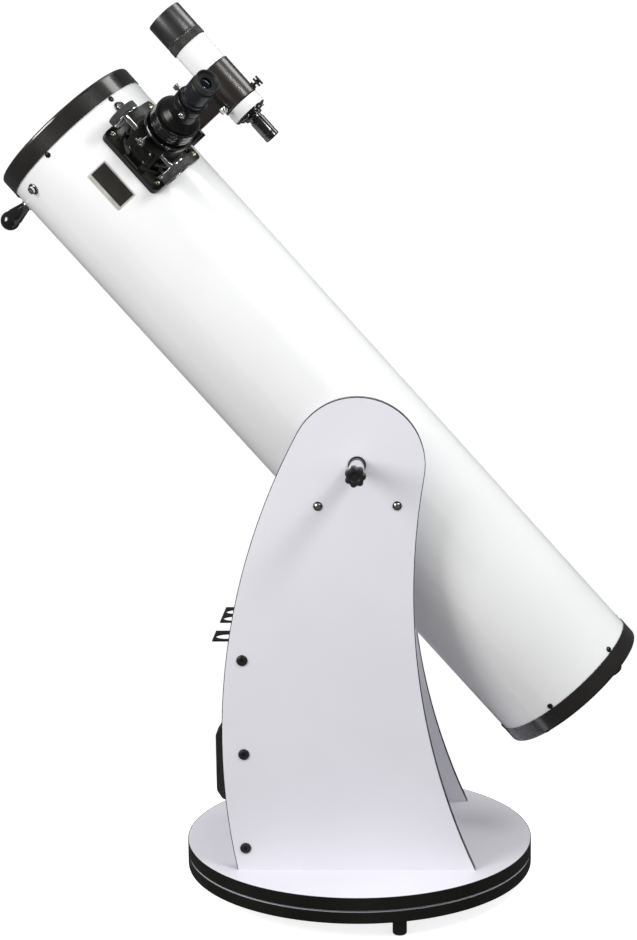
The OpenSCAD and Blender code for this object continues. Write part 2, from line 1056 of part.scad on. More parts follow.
module focus_knobs() {
    color(DARK)
        on_focuser()
            for (s = [-1, 1])
                translate([shaft_x, focuser_dy + s * knob_y, shaft_z])
                    rotate([90, 0, 0])
                        difference() {
                            translate([0, 0, -6.5])
                                lobed_knob(13, knob_r, 30, 1.2);
                            disc([-8, 8], shaft_r + 0.01);
                        }
}

module focus_lock_screw() {
    color(STEEL)
        on_focuser()
            translate([lock_x, lock_y, lock_z])
                rotate([0, -90, 0])
                    thumb_screw(lock_r, -lock_x - draw_r - lock_gap, 5.5, 8);
}

module adapter_screw_place(a) {
    on_focuser()
        rotate([0, 0, a])
            translate([adapter_screw_x, 0, adapter_screw_z])
                rotate([0, 90, 0])
                    children();
}

module eyepiece_adapter() {
    color(BLACK)
        difference() {
            on_focuser()
                difference() {
                    union() {
                        disc([180, collar_top + 0.1], 25.4);
                        disc([collar_top + 0.1, collar_top + 7], 29);
                        translate([0, 0, collar_top + 6.99])
                            cylinder(h = 9, r1 = 29, r2 = 22);
                        disc([collar_top + 15.9, adapter_top], 22);
                    }
                    disc([170, 260], eyepiece_r + 0.07);
                }
            for (a = adapter_angles)
                adapter_screw_place(a)
                    disc([-8, 1], thumb_r + fit);
        }
}

module adapter_screw_front() {
    color(STEEL)
        adapter_screw_place(adapter_angles[1])
            thumb_screw(thumb_r, 6, 4.5, 8);
}

module adapter_screw_side() {
    color(STEEL)
        adapter_screw_place(adapter_angles[0])
            thumb_screw(thumb_r, 6, 4.5, 10);
}

module eyepiece_body() {
    color(BLACK)
        on_focuser()
            difference() {
                union() {
                    disc([adapter_top - 30, adapter_top + play + 0.1], eyepiece_r);
                    disc([adapter_top + play, adapter_top + 8], 18.5);
                    disc([adapter_top + 8, adapter_top + 11], 17);
                    disc([adapter_top + 11, adapter_top + 36], 18);
                    disc([adapter_top + 36, adapter_top + 40], 14.5);
                }
                disc([adapter_top - 31, adapter_top + 38.5], 12);
                disc([adapter_top + 38, adapter_top + 41], 10.05);
                for (i = [0:23])
                    rotate([0, 0, 15 * i])
                        translate([18.4, 0, 0])
                            disc([adapter_top + 17, adapter_top + 30], 0.8);
            }
}

module eyecup() {
    z0 = adapter_top + 36;
    color(DARK)
        on_focuser()
            rotate_extrude()
                polygon([[14.55, z0 + 0.1], [17.2, z0 + 0.1], [16.8, z0 + 6], [16.4, z0 + 11.2],
                    [15.2, z0 + 11.2], [13.2, z0 + 5], [14.55, z0 + 4.2]]);
}

module eye_lens() {
    color(GLASS)
        on_focuser()
            disc([adapter_top + 38.6, adapter_top + 41], 10);
}

// ---------- finder ----------

module finder_shoe() {
    color(BLACK)
        difference() {
            on_tube(0, 90) {
                slab([-shoe_w, shoe_w], [-dovetail_h, -100], shoe_t);
                for (m = [0, 1])
                    mirror([m, 0, 0])
                        translate([0, 0, shoe_t[0]])
                            linear_extrude(shoe_t[1] - shoe_t[0])
                                polygon([[shoe_w, 0.01 - dovetail_h], [shoe_w, -dovetail_h - dovetail_t],
                                    [11.8, -dovetail_h - dovetail_t], [17.5, 0.01 - dovetail_h]]);
            }
            on_tube()
                disc([400, 600], tube_r + 0.05);
            shoe_screw_place()
                disc([-20, 1], lock_r + fit);
            inner_screw_places()
                disc([-20, 1], 2.55);
        }
}

module shoe_screw_place() {
    on_tube(shoe_screw_t, 90)
        translate([-shoe_w, -dovetail_h - dovetail_t / 2, 0])
            rotate([0, -90, 0])
                children();
}

module shoe_screw() {
    color(STEEL)
        shoe_screw_place()
            translate([0, 0, 0.4])
                thumb_screw(lock_r, 9, 6.5, 9);
}

module finder_bracket() {
    foot_l = shoe_t[1] - shoe_t[0] - 4;
    ring_low = finder_ring_r - finder_h;
    color(BLACK)
        difference() {
            union() {
                on_finder()
                    ring(finder_ring_t, finder_ring_r, finder_ring_in);
                on_tube(0, 90) {
                    slab([-7, 7], [ring_low - 2, -dovetail_h - 11], bracket_stem_t);
                    translate([0, 0, shoe_t[0] + 2])
                        linear_extrude(foot_l)
                            polygon([[-16.6, -dovetail_h - play], [16.6, -dovetail_h - play],
                                [10.9, -dovetail_h - 12.4], [-10.9, -dovetail_h - 12.4]]);
                }
                for (a = finder_screw_angles)
                    finder_screw_place(a)
                        disc([finder_ring_r - 1, finder_ring_r + 3], 5);
                finder_screw_place(plunger_angle)
                    disc([finder_ring_r - 1, finder_ring_r + 3], 5.6);
            }
            on_finder()
                disc([finder_ring_t[0] - 1, finder_ring_t[1] + 1], finder_ring_in);
            for (a = finder_screw_angles)
                finder_screw_place(a)
                    disc([20, 50], finder_screw_r + fit);
            finder_screw_place(plunger_angle)
                disc([20, 50], plunger_r + fit);
        }
}

// Screw through the finder's ring at angle a from straight outwards, +Z outwards
module finder_screw_place(a) {
    on_finder()
        translate([0, 0, finder_screw_t])
            rotate([0, 0, a])
                rotate([90, 0, 0])
                    children();
}

module finder_screw(a) {
    tip = finder_waist_r + play;
    color(BLACK)
        finder_screw_place(a) {
            disc([tip, finder_ring_r + 8], finder_screw_r);
            translate([0, 0, finder_ring_r + 6])
                lobed_knob(3, 7.5, 12, 1);
            disc([finder_ring_r + 8.9, finder_ring_r + 11], 4);
            translate([0, 0, finder_ring_r + 10.9])
                lobed_knob(3, 7.5, 12, 1);
        }
}

module finder_screw_top() {
    finder_screw(finder_screw_angles[0]);
}

module finder_screw_far() {
    finder_screw(finder_screw_angles[1]);
}

module finder_plunger() {
    tip = finder_waist_r + play;
    color(STEEL)
        finder_screw_place(plunger_angle) {
            disc([tip, finder_ring_r + 6], plunger_r);
            disc([finder_ring_r + 4.5, finder_ring_r + 13], 5);
        }
}

module finder_tube() {
    color(SHEET_WHITE)
        on_finder()
            difference() {
                union() {
                    disc([finder_ring_t[1] + 1.5, finder_front_t], finder_r);
                    disc([finder_rear_t, finder_ring_t[0] - 1.5], finder_r);
                    disc([finder_rear_t, finder_ring_t[1] + 2], finder_waist_r);
                    disc([finder_front_t - 0.01, cell_t[0] + 6], cell_neck_r);
                    translate([0, 0, finder_pivot_t])
                        rotate_extrude()
                            translate([finder_waist_r, 0])
                                circle(r = 1.7, $fn = 32);
                }
                disc([finder_rear_t + 4, cell_t[0] + 10], 20.5);
                disc([finder_rear_t - 1, finder_rear_t + 5], 10);
                disc([finder_ring_t[1] + 8, cell_t[0] + 10], 23);
            }
}

module finder_lock_ring() {
    color(BLACK)
        on_finder()
            difference() {
                translate([0, 0, finder_front_t + play])
                    lobed_knob(cell_t[0] - finder_front_t - 2 * play, 28, 60, 0.6);
                disc([finder_front_t - 1, cell_t[0] + 1], cell_neck_r + fit);
            }
}

module finder_cell() {
    color(BLACK)
        on_finder()
            difference() {
                disc(cell_t, 27.7);
                disc([cell_t[0] - 1, cell_t[0] + 8], cell_neck_r + fit);
                disc([cell_t[0] + 7, cell_t[0] + 14], 24);
                disc([cell_t[0] + 13.9, cell_t[1] + 1], 26);
            }
}

module objective_lens() {
    z0 = cell_t[0] + 14;
    color(GLASS)
        on_finder()
            intersection() {
                disc([z0, z0 + 6], 25.9);
                translate([0, 0, z0 + 6 - 120])
                    sphere(r = 120, $fn = 120);
            }
}

module finder_eyepiece() {
    end_t = 418;
    color(BLACK)
        on_finder()
            difference() {
                union() {
                    disc([finder_rear_t - 2.4, finder_rear_t], 26);
                    disc([finder_rear_t - 6, finder_rear_t - 2.39], 22);
                    disc([finder_rear_t - 10, finder_rear_t - 5.9], 14);
                    disc([end_t, end_t + 34], 11.4);
                    disc([end_t + 33.9, finder_rear_t - 9.9], 10.2);
                }
                disc([end_t - 1, end_t + 8], 9);
                disc([end_t + 7.9, finder_rear_t + 1], 6.5);
            }
}

// ---------- nodes ----------

ground_board();
ground_edge_band();
feet();
azimuth_pads();
azimuth_bolt();
base_board();
azimuth_bush();
left_side_panel();
right_side_panel();
front_board();
box_edge_bands();
box_screws();
bolt_caps();
carry_handle();
eyepiece_rack();
cross_head_screws();
support_cylinders();
tube();
front_ring();
rear_ring();
tube_screws();
altitude_bearings();
tension_sleeves();
spider_vanes();
spider_hub();
spider_screws();
secondary_holder();
secondary_mirror();
primary_mirror();
mirror_cell();
tube_knob();
focuser_base();
focuser_screws();
focuser_body();
finder_shoe();
left_tension_knob();
right_tension_knob();
collimation_knob_1();
collimation_knob_2();
collimation_knob_3();
drawtube();
focus_shaft();
focus_knobs();
focus_lock_screw();
eyepiece_adapter();
adapter_screw_front();
adapter_screw_side();
eyepiece_body();
eyecup();
eye_lens();
shoe_screw();
finder_bracket();
finder_screw_top();
finder_screw_far();
finder_plunger();
finder_tube();
finder_cell();
objective_lens();
finder_lock_ring();
finder_eyepiece();
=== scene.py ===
"""Looks of a 200 mm f/6 reflecting telescope on a rocker box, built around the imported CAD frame.

Lengths are in millimetres in the frames below and become metres in place(). Left is -Y.
"""

import json
import math

import bmesh
import bpy
from mathutils import Matrix, Vector


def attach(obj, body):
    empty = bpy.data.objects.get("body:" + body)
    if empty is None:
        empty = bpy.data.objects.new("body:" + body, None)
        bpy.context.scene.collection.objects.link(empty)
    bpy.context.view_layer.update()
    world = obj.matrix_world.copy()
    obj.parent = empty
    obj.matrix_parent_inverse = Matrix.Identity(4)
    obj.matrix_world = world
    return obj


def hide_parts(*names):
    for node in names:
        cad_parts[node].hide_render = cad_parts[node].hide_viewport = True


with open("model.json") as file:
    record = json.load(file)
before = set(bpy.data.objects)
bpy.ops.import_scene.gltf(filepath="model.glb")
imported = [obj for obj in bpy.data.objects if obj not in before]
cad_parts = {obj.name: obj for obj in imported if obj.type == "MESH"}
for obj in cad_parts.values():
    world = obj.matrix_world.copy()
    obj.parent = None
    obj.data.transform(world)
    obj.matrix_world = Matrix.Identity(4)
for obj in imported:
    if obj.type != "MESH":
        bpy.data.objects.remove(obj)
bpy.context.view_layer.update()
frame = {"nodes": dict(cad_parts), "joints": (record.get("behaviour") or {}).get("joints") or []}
JOINTS = {j["name"]: j for j in frame["joints"]}
MM = 0.001

# Places and sizes of the CAD parts that the pieces here fit, in millimetres and degrees
TUBE_R = 117.5
SLEEVE_R = 10.8
STUD_R = 5.0
SHAFT_R = 3.5
DRAW_R = 27.05
FOCUSER_T = 514.5
FOCUSER_A = 44.8
SHAFT_X = -33.8
SHAFT_Z = 154.0
FOCUSER_DY = 2.0
HOUSING_R = 34.0
HOUSING_TOP = 168.0
COLLAR_Z = (176.0, 196.0)
ADAPTER_TOP = 240.0
SPIDER_T = 586.0
TUBE_KNOB_A = -85.0
FINDER_H = 210.5
FINDER_T = {"rear": 466.7, "ring": (485.0, 547.0), "front": 593.3, "cell": (605.9, 648.5)}
CELL_ANGLES = (90.0, 210.0, 330.0)
REAR_T = -476.5
LOCK_SCREW_AT = (-47, 8, 163.7)
ADAPTER_SCREW_Z = 233
SHOE_SCREW_T = 518
FINDER_SCREW_T = 491
FINDER_PIN_T = 462.6
WHEEL_Y = 51.5
PINION_COVER_X, PINION_COVER_Z = -46, 145
PLATE_T = (480.0, 543.0)
PLATE_A = (-5.8, 10.2)

# Strengths of the white floor and surroundings
WHITE = 1.02
FLOOR_GLOW = 0.68
FLOOR_BOUNCE = 0.26
FLOOR_IN_GLOSS = 0.08
ROOM_LIGHT = 0.74
ROOM_IN_GLOSS = 0.1


# ---------- frames ----------


def vec(values):
    return Vector(values)


PIVOT = vec(JOINTS["altitude"]["pos_m"]) / MM
AXIS = vec(JOINTS["finder_slide"]["axis"]).normalized()
UPWARD = Vector((AXIS.z, 0, -AXIS.x))
SIDE = Vector((0, 1, 0))


def frame_matrix(x, y, z, origin):
    """The frame with these axes at this origin."""
    m = Matrix((x, y, z)).transposed().to_4x4()
    m.translation = origin
    return m


def on_tube(t=0.0, a=0.0):
    """+Z along the tube to the front, -Y outwards at angle a from the left side towards the top."""
    turn = Matrix.Rotation(math.radians(a), 4, "Z")
    return frame_matrix(UPWARD, SIDE, AXIS, PIVOT + AXIS * t) @ turn


def outward(m):
    """The frame turned so that +Z points where -Y did."""
    return m @ Matrix.Rotation(math.radians(90), 4, "X")


def on_focuser():
    return outward(on_tube(FOCUSER_T, FOCUSER_A))


def on_finder(t=0.0):
    return on_tube(t, 90) @ Matrix.Translation((0, -FINDER_H, 0))


def on_pivot(s):
    """+Z outwards along the altitude axis, on the left (s = 1) or the right (s = -1)."""
    return Matrix.Translation(PIVOT) @ Matrix.Rotation(math.radians(90 * s), 4, "X")


# ---------- meshes ----------


def place(bm, name, matrix, look, body, replaces=(), sharp=32, bevel=None):
    """Makes an object of the mesh, in place, smooth but for its sharp edges, and rides it on a body."""
    bm.transform(Matrix.Scale(MM, 4) @ matrix)
    bmesh.ops.recalc_face_normals(bm, faces=bm.faces)
    mesh = bpy.data.meshes.new(name)
    bm.to_mesh(mesh)
    bm.free()
    for polygon in mesh.polygons:
        polygon.use_smooth = True
    mesh.set_sharp_from_angle(angle=math.radians(sharp))
    mesh.materials.append(LOOKS[look])
    piece = bpy.data.objects.new(name, mesh)
    bpy.context.scene.collection.objects.link(piece)
    if bevel:
        mod = piece.modifiers.new("bevel", "BEVEL")
        mod.width = bevel * MM
        mod.segments = 3
        mod.limit_method = "ANGLE"
        mod.angle_limit = math.radians(sharp)
        mod.harden_normals = True
    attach(piece, body)
    if replaces:
        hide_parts(*replaces)
    return piece


def rounded(points, r, steps=4):
    """A closed outline with its corners rounded to radius r, or to each point's own third value."""
    out = []
    n = len(points)
    for i, point in enumerate(points):
        p = Vector(point[:2])
        radius = point[2] if len(point) > 2 else r
        a = Vector(points[i - 1][:2]) - p
        b = Vector(points[(i + 1) % n][:2]) - p
        corner = a.angle(b)
        reach = min(radius / math.tan(corner / 2), a.length * 0.49, b.length * 0.49) if radius else 0
        if reach < 1e-4:
            out.append(tuple(p))
            continue
        start, end = p + a.normalized() * reach, p + b.normalized() * reach
        for k in range(steps + 1):
            u = k / steps
            q = start * (1 - u) ** 2 + p * 2 * u * (1 - u) + end * u * u
            out.append(tuple(q))
    return out


def lathe(bm, profile, segments=96, wave=None):
    """Turns a closed profile of (radius, height) about Z. wave(angle, r, z) gives a radius factor."""
    rings = []
    for i in range(segments):
        a = 2 * math.pi * i / segments
        ring = []
        for r, z in profile:
            f = wave(a, r, z) if wave else 1.0
            ring.append(bm.verts.new((r * f * math.cos(a), r * f * math.sin(a), z)))
        rings.append(ring)
    n = len(profile)
    for i in range(segments):
        this, after = rings[i], rings[(i + 1) % segments]
        for k in range(n):
            j = (k + 1) % n
            bm.faces.new((this[k], after[k], after[j], this[j]))
    bmesh.ops.remove_doubles(bm, verts=bm.verts, dist=1e-4)
    return bm


def turned(profile, r=0.3, segments=96, wave=None, steps=4):
    """A lathe of a profile with rounded corners."""
    return lathe(bmesh.new(), rounded(profile, r, steps), segments, wave)


def lobes(count, depth, sharpness=1.0, inner=0.0):
    """A wave of rounded lobes for a knob's grip. Radii under inner stay round."""

    def wave(a, r, z):
        if r < inner:
            return 1.0
        dip = 0.5 - 0.5 * math.cos(count * a)
        return 1.0 - depth * dip**sharpness

    return wave


def prism(bm, outline, z0, z1):
    """Extrudes a closed outline from z0 to z1."""
    low = [bm.verts.new((x, y, z0)) for x, y in outline]
    high = [bm.verts.new((x, y, z1)) for x, y in outline]
    bm.faces.new(low)
    bm.faces.new(high)
    n = len(outline)
    for i in range(n):
        j = (i + 1) % n
        bm.faces.new((low[i], low[j], high[j], high[i]))
    return bm


def block(bm, x, y, z):
    """A box between two values on each axis."""
    return prism(bm, [(x[0], y[0]), (x[1], y[0]), (x[1], y[1]), (x[0], y[1])], z[0], z[1])


def swept(bm, points, radius, closed=False, sides=10):
    """A round wire through the points."""
    n = len(points)
    rings = []
    for i, p in enumerate(points):
        before = points[i - 1] if i or closed else points[0]
        after = points[(i + 1) % n] if i < n - 1 or closed else points[-1]
        along = (after - before).normalized()
        x = along.orthogonal() if not rings else (last_x - along * last_x.dot(along))
        x.normalize()
        last_x = x
        y = along.cross(x)
        ring = []
        for k in range(sides):
            a = 2 * math.pi * k / sides
            ring.append(bm.verts.new(p + (x * math.cos(a) + y * math.sin(a)) * radius))
        rings.append(ring)
    for i in range(n if closed else n - 1):
        this, after = rings[i], rings[(i + 1) % n]
        for k in range(sides):
            j = (k + 1) % sides
            bm.faces.new((this[k], this[j], after[j], after[k]))
    if not closed:
        bm.faces.new(rings[0])
        bm.faces.new(rings[-1])
    return bm


def screw_head(bm, r, h, z=0.0, slot=0.55):
    """A domed head with a cross recess, standing on z."""
    dome = [(0, z + h), (r * 0.45, z + h * 0.97), (r * 0.8, z + h * 0.8), (r, z + h * 0.35), (r, z), (0, z)]
    part = turned(dome, 0.25, 40)
    cut = bmesh.new()
    half = r * slot
    for a in (0, 90):
        arm = block(bmesh.new(), (-half, half), (-half / 4, half / 4), (z + h * 0.45, z + h + 1))
        arm.transform(Matrix.Rotation(math.radians(a), 4, "Z"))
        join(cut, arm)
    part = minus(part, cut)
    return join(bm, part)


def join(bm, other):
    """Adds the other mesh to bm, and frees it."""
    mesh = bpy.data.meshes.new("part")
    other.to_mesh(mesh)
    other.free()
    bm.from_mesh(mesh)
    bpy.data.meshes.remove(mesh)
    return bm


def minus(bm, cut):
    """bm with the other mesh cut out of it, by an exact boolean."""
    made = []
    for name, part in (("whole", bm), ("cut", cut)):
        bmesh.ops.recalc_face_normals(part, faces=part.faces)
        mesh = bpy.data.meshes.new(name)
        part.to_mesh(mesh)
        part.free()
        made.append(bpy.data.objects.new(name, mesh))
        bpy.context.scene.collection.objects.link(made[-1])
    mod = made[0].modifiers.new("cut", "BOOLEAN")
    mod.object = made[1]
    mod.operation = "DIFFERENCE"
    mod.solver = "EXACT"
    mod.use_self = True
    bpy.context.view_layer.update()
    result = made[0].evaluated_get(bpy.context.evaluated_depsgraph_get())
    out = bmesh.new()
    out.from_mesh(result.to_mesh())
    result.to_mesh_clear()
    for thing in made:
        mesh = thing.data
        bpy.data.objects.remove(thing)
        bpy.data.meshes.remove(mesh)
    return out


# ---------- materials ----------


class Nodes:
    """A material's node tree, with short calls for the nodes that the materials here share."""

    def __init__(self, name):
        self.material = bpy.data.materials.new(name)
        self.material.use_nodes = True
        self.tree = self.material.node_tree
        self.shader = self.tree.nodes["Principled BSDF"]
        self.place = self.new("ShaderNodeTexCoord").outputs["Object"]

    def new(self, kind, **settings):
        node = self.tree.nodes.new(kind)
        for key, value in settings.items():
            setattr(node, key, value)
        return node

    def link(self, a, b):
        self.tree.links.new(a, b)

    def set(self, **values):
        for key, value in values.items():
            self.shader.inputs[key.replace("_", " ")].default_value = value

    def noise(self, scale, detail=4.0, rough=0.55, stretch=None):
        node = self.new("ShaderNodeTexNoise")
        node.inputs["Scale"].default_value = scale
        node.inputs["Detail"].default_value = detail
        node.inputs["Roughness"].default_value = rough
        source = self.place
        if stretch:
            mapping = self.new("ShaderNodeMapping")
            mapping.inputs["Scale"].default_value = stretch
            self.link(source, mapping.inputs["Vector"])
            source = mapping.outputs["Vector"]
        self.link(source, node.inputs["Vector"])
        return node.outputs["Fac"]

    def ramp(self, source, low, high, start=0.3, end=0.7):
        """Blends two colours, or two greys given as numbers, as source goes from start to end."""
        node = self.new("ShaderNodeValToRGB")
        for element, value, at in zip(node.color_ramp.elements, (low, high), (start, end)):
            element.position = at
            element.color = (value, value, value, 1) if isinstance(value, float) else (*value, 1)
        self.link(source, node.inputs["Fac"])
        return node.outputs["Color"]

    def bump(self, source, strength, distance_mm, edge_mm=0.0):
        """Bump from source, over edges rounded in shading by edge_mm."""
        node = self.new("ShaderNodeBump")
        node.inputs["Strength"].default_value = strength
        node.inputs["Distance"].default_value = distance_mm * MM
        self.link(source, node.inputs["Height"])
        if edge_mm:
            soft = self.new("ShaderNodeBevel", samples=4)
            soft.inputs["Radius"].default_value = edge_mm * MM
            self.link(soft.outputs["Normal"], node.inputs["Normal"])
        self.link(node.outputs["Normal"], self.shader.inputs["Normal"])

    def colour(self, source):
        self.link(source, self.shader.inputs["Base Color"])

    def roughness(self, source):
        self.link(source, self.shader.inputs["Roughness"])


def laminate(name="laminate_white", tint=(0.755, 0.75, 0.805)):
    """White melamine: a fine pearl grain, and a little unevenness from wiping."""
    m = Nodes(name)
    high = tuple(min(c * 1.03, 1.0) for c in tint)
    low = tuple(c * 0.985 for c in tint)
    m.colour(m.ramp(m.noise(3.5, 3), low, high, 0.35, 0.65))
    m.roughness(m.ramp(m.noise(14, 5), 0.36, 0.46))
    m.bump(m.noise(1500, 3), 0.12, 0.08, 0.4)
    m.set(Specular_IOR_Level=0.4)
    return m.material


def edge_band():
    """Black edge tape, with the faint upright marks that the trimmer leaves."""
    m = Nodes("edge_band_black")
    m.colour(m.ramp(m.noise(9, 4), (0.007, 0.007, 0.006), (0.014, 0.014, 0.011)))
    m.roughness(m.ramp(m.noise(220, 4, stretch=(1, 1, 0.12)), 0.3, 0.45))
    m.bump(m.noise(500, 3, stretch=(1, 1, 0.1)), 0.15, 0.1, 0.5)
    m.set(Specular_IOR_Level=0.3)
    return m.material


def plastic(name, shade=(0.011, 0.011, 0.012), rough=(0.34, 0.48), grain=900, depth=0.25):
    """Moulded black plastic with a fine spark-eroded grain."""
    m = Nodes(name)
    high = tuple(c * 1.5 + 0.002 for c in shade)
    m.colour(m.ramp(m.noise(45, 4), shade, high))
    m.roughness(m.ramp(m.noise(60, 4), *rough))
    m.bump(m.noise(grain, 3), depth, 0.12, 0.4)
    return m.material


def gloss(name, shade=(0.0065, 0.006, 0.006), rough=(0.16, 0.22), coat=0.5, coat_rough=0.15,
          edge_mm=0.0):
    """Black stove enamel: a hard gloss. With an edge_mm it gets slight orange peel and rounded edges."""
    m = Nodes(name)
    high = tuple(c * 1.6 + 0.001 for c in shade)
    m.colour(m.ramp(m.noise(24, 4), shade, high))
    m.roughness(m.ramp(m.noise(30, 5), *rough))
    if edge_mm:
        m.bump(m.noise(60, 2), 0.008, 0.1, edge_mm)
    m.set(Coat_Weight=coat, Coat_Roughness=coat_rough, Coat_IOR=1.9)
    return m.material


def anodised(name, shade=(0.006, 0.0063, 0.0058), rough=(0.24, 0.34)):
    """Black anodised aluminium with a satin, lightly blasted surface."""
    m = Nodes(name)
    high = tuple(c * 1.6 + 0.001 for c in shade)
    m.colour(m.ramp(m.noise(70, 5), shade, high))
    m.roughness(m.ramp(m.noise(150, 4), *rough))
    m.bump(m.noise(1400, 2), 0.18, 0.06, 0.35)
    m.set(Metallic=0.35)
    return m.material


def metal(name, tint, rough, grain=(1, 1, 1), scale=500):
    """Bright metal with fine polishing marks."""
    m = Nodes(name)
    low = tuple(c * 0.88 for c in tint)
    m.colour(m.ramp(m.noise(120, 4), low, tint))
    m.roughness(m.ramp(m.noise(scale, 4, stretch=grain), *rough))
    m.bump(m.noise(scale, 3, stretch=grain), 0.08, 0.03, 0.25)
    m.set(Metallic=1.0)
    return m.material


def rubber(name="rubber_black"):
    m = Nodes(name)
    m.colour(m.ramp(m.noise(80, 5), (0.013, 0.013, 0.014), (0.024, 0.024, 0.025)))
    m.roughness(m.ramp(m.noise(120, 4), 0.5, 0.68))
    m.bump(m.noise(1200, 3), 0.3, 0.1, 0.3)
    return m.material


def nylon():
    m = Nodes("nylon_natural")
    m.colour(m.ramp(m.noise(30, 4), (0.74, 0.72, 0.66), (0.82, 0.81, 0.77)))
    m.roughness(m.ramp(m.noise(90, 4), 0.4, 0.55))
    m.bump(m.noise(700, 3), 0.2, 0.1, 0.4)
    m.set(Subsurface_Weight=0.1, Subsurface_Scale=0.002)
    return m.material


def tube_enamel(name, inner_r, axis_point, axis):
    """White gloss enamel outside and flat black inside, told apart by the distance from an axis."""
    m = Nodes(name)
    offset = m.new("ShaderNodeVectorMath", operation="SUBTRACT")
    offset.inputs[1].default_value = axis_point * MM
    m.link(m.place, offset.inputs[0])
    across = m.new("ShaderNodeVectorMath", operation="CROSS_PRODUCT")
    across.inputs[1].default_value = axis
    m.link(offset.outputs[0], across.inputs[0])
    length = m.new("ShaderNodeVectorMath", operation="LENGTH")
    m.link(across.outputs[0], length.inputs[0])
    inside = m.new("ShaderNodeMath", operation="LESS_THAN")
    inside.inputs[1].default_value = inner_r * MM
    m.link(length.outputs["Value"], inside.inputs[0])
    white = m.ramp(m.noise(5, 3), (0.81, 0.815, 0.82), (0.84, 0.845, 0.85), 0.35, 0.65)
    black = m.ramp(m.noise(200, 4), (0.008, 0.008, 0.008), (0.016, 0.016, 0.016))
    mix = m.new("ShaderNodeMix", data_type="RGBA")
    m.link(inside.outputs[0], mix.inputs["Factor"])
    m.link(white, mix.inputs[6])
    m.link(black, mix.inputs[7])
    m.colour(mix.outputs[2])
    shine = m.ramp(m.noise(20, 4), 0.17, 0.25)
    dull = m.ramp(m.noise(300, 3), 0.75, 0.9)
    mix = m.new("ShaderNodeMix", data_type="RGBA")
    m.link(inside.outputs[0], mix.inputs["Factor"])
    m.link(shine, mix.inputs[6])
    m.link(dull, mix.inputs[7])
    m.roughness(mix.outputs[2])
    m.bump(m.noise(160, 2), 0.04, 0.4, 0.3)
    return m.material


def mirror_glass():
    """Aluminised glass, with the faint haze of a real coating."""
    m = Nodes("mirror_glass")
    m.colour(m.ramp(m.noise(15, 3), (0.86, 0.87, 0.89), (0.92, 0.93, 0.94)))
    m.roughness(m.ramp(m.noise(40, 4), 0.015, 0.04))
    m.set(Metallic=1.0)
    return m.material


def coated_lens(name, shade=(0.004, 0.006, 0.03)):
    """A lens seen from outside: dark glass under a bright blue-violet coating."""
    m = Nodes(name)
    high = tuple(c * 2.2 for c in shade)
    m.colour(m.ramp(m.noise(60, 2), shade, high))
    m.roughness(m.ramp(m.noise(80, 3), 0.02, 0.05))
    m.set(Coat_Weight=1.0, Coat_Roughness=0.02, Coat_Tint=(0.6, 0.7, 1.0, 1), Specular_IOR_Level=0.4)
    return m.material


LOOKS = {
    "laminate": laminate(),
    "edge_band": edge_band(),
    "black_plastic": plastic("plastic_black"),
    "gloss_black": gloss("gloss_black"),
    "ring_enamel": gloss("ring_enamel", (0.0095, 0.0085, 0.008), (0.24, 0.3), 0.55, 0.15, 0.4),
    "nylon": nylon(),
    "zinc": metal("zinc_bright", (0.78, 0.76, 0.7), (0.22, 0.34)),
    "brass_zinc": metal("zinc_yellow", (0.86, 0.8, 0.6), (0.16, 0.28)),
    "chrome": metal("chrome", (0.88, 0.88, 0.89), (0.06, 0.13), (1, 1, 1), 300),
    "anodised": anodised("anodised_black"),
    "cast_black": anodised("cast_black", (0.006, 0.006, 0.005), (0.26, 0.38)),
    "screw_black": anodised("screw_black", (0.009, 0.009, 0.009), (0.22, 0.32)),
    # A lighter black than the casting under it: a painted highlight on the focuser's ribs, not wear.
    "rib_painted_highlight": anodised("rib_painted_highlight", (0.034, 0.033, 0.028), (0.3, 0.42)),
    "inside_black": plastic("inside_black", (0.008, 0.008, 0.008), (0.75, 0.9)),
    "screw_bright": metal("screw_bright", (0.6, 0.6, 0.58), (0.2, 0.3)),
    "screw_satin": metal("screw_satin", (0.62, 0.62, 0.61), (0.16, 0.26)),
    "rim_polished": metal("rim_polished", (0.42, 0.42, 0.41), (0.1, 0.18)),
    "mirror": mirror_glass(),
    "eye_glass": coated_lens("eye_glass", (0.001, 0.0014, 0.004)),
    "objective_glass": coated_lens("objective_glass", (0.006, 0.012, 0.02)),
    "rubber": rubber(),
    "plate_silver": anodised("plate_silver", (0.42, 0.405, 0.375), (0.3, 0.4)),
    "plate_black": plastic("plate_black", (0.013, 0.0115, 0.0095), (0.3, 0.4), 600, 0.1),
    "knob_grey": plastic("knob_grey", (0.026, 0.026, 0.026), (0.4, 0.5), 700, 0.3),
    "slate": anodised("slate", (0.014, 0.0155, 0.019), (0.3, 0.42)),
    "ring_grey": anodised("ring_grey", (0.035, 0.035, 0.031), (0.35, 0.45)),
    "shield_black": gloss("shield_black", (0.007, 0.0068, 0.007), (0.3, 0.36), 0.9, 0.3),
    "bracket_black": gloss("bracket_black", (0.011, 0.0072, 0.0055), (0.28, 0.34), 0.7, 0.26),
    "tube": tube_enamel("tube_enamel", TUBE_R - 0.7, PIVOT, AXIS),
    "finder_white": tube_enamel("finder_enamel", 24.0, on_finder() @ Vector((0, 0, 0)), AXIS),
}

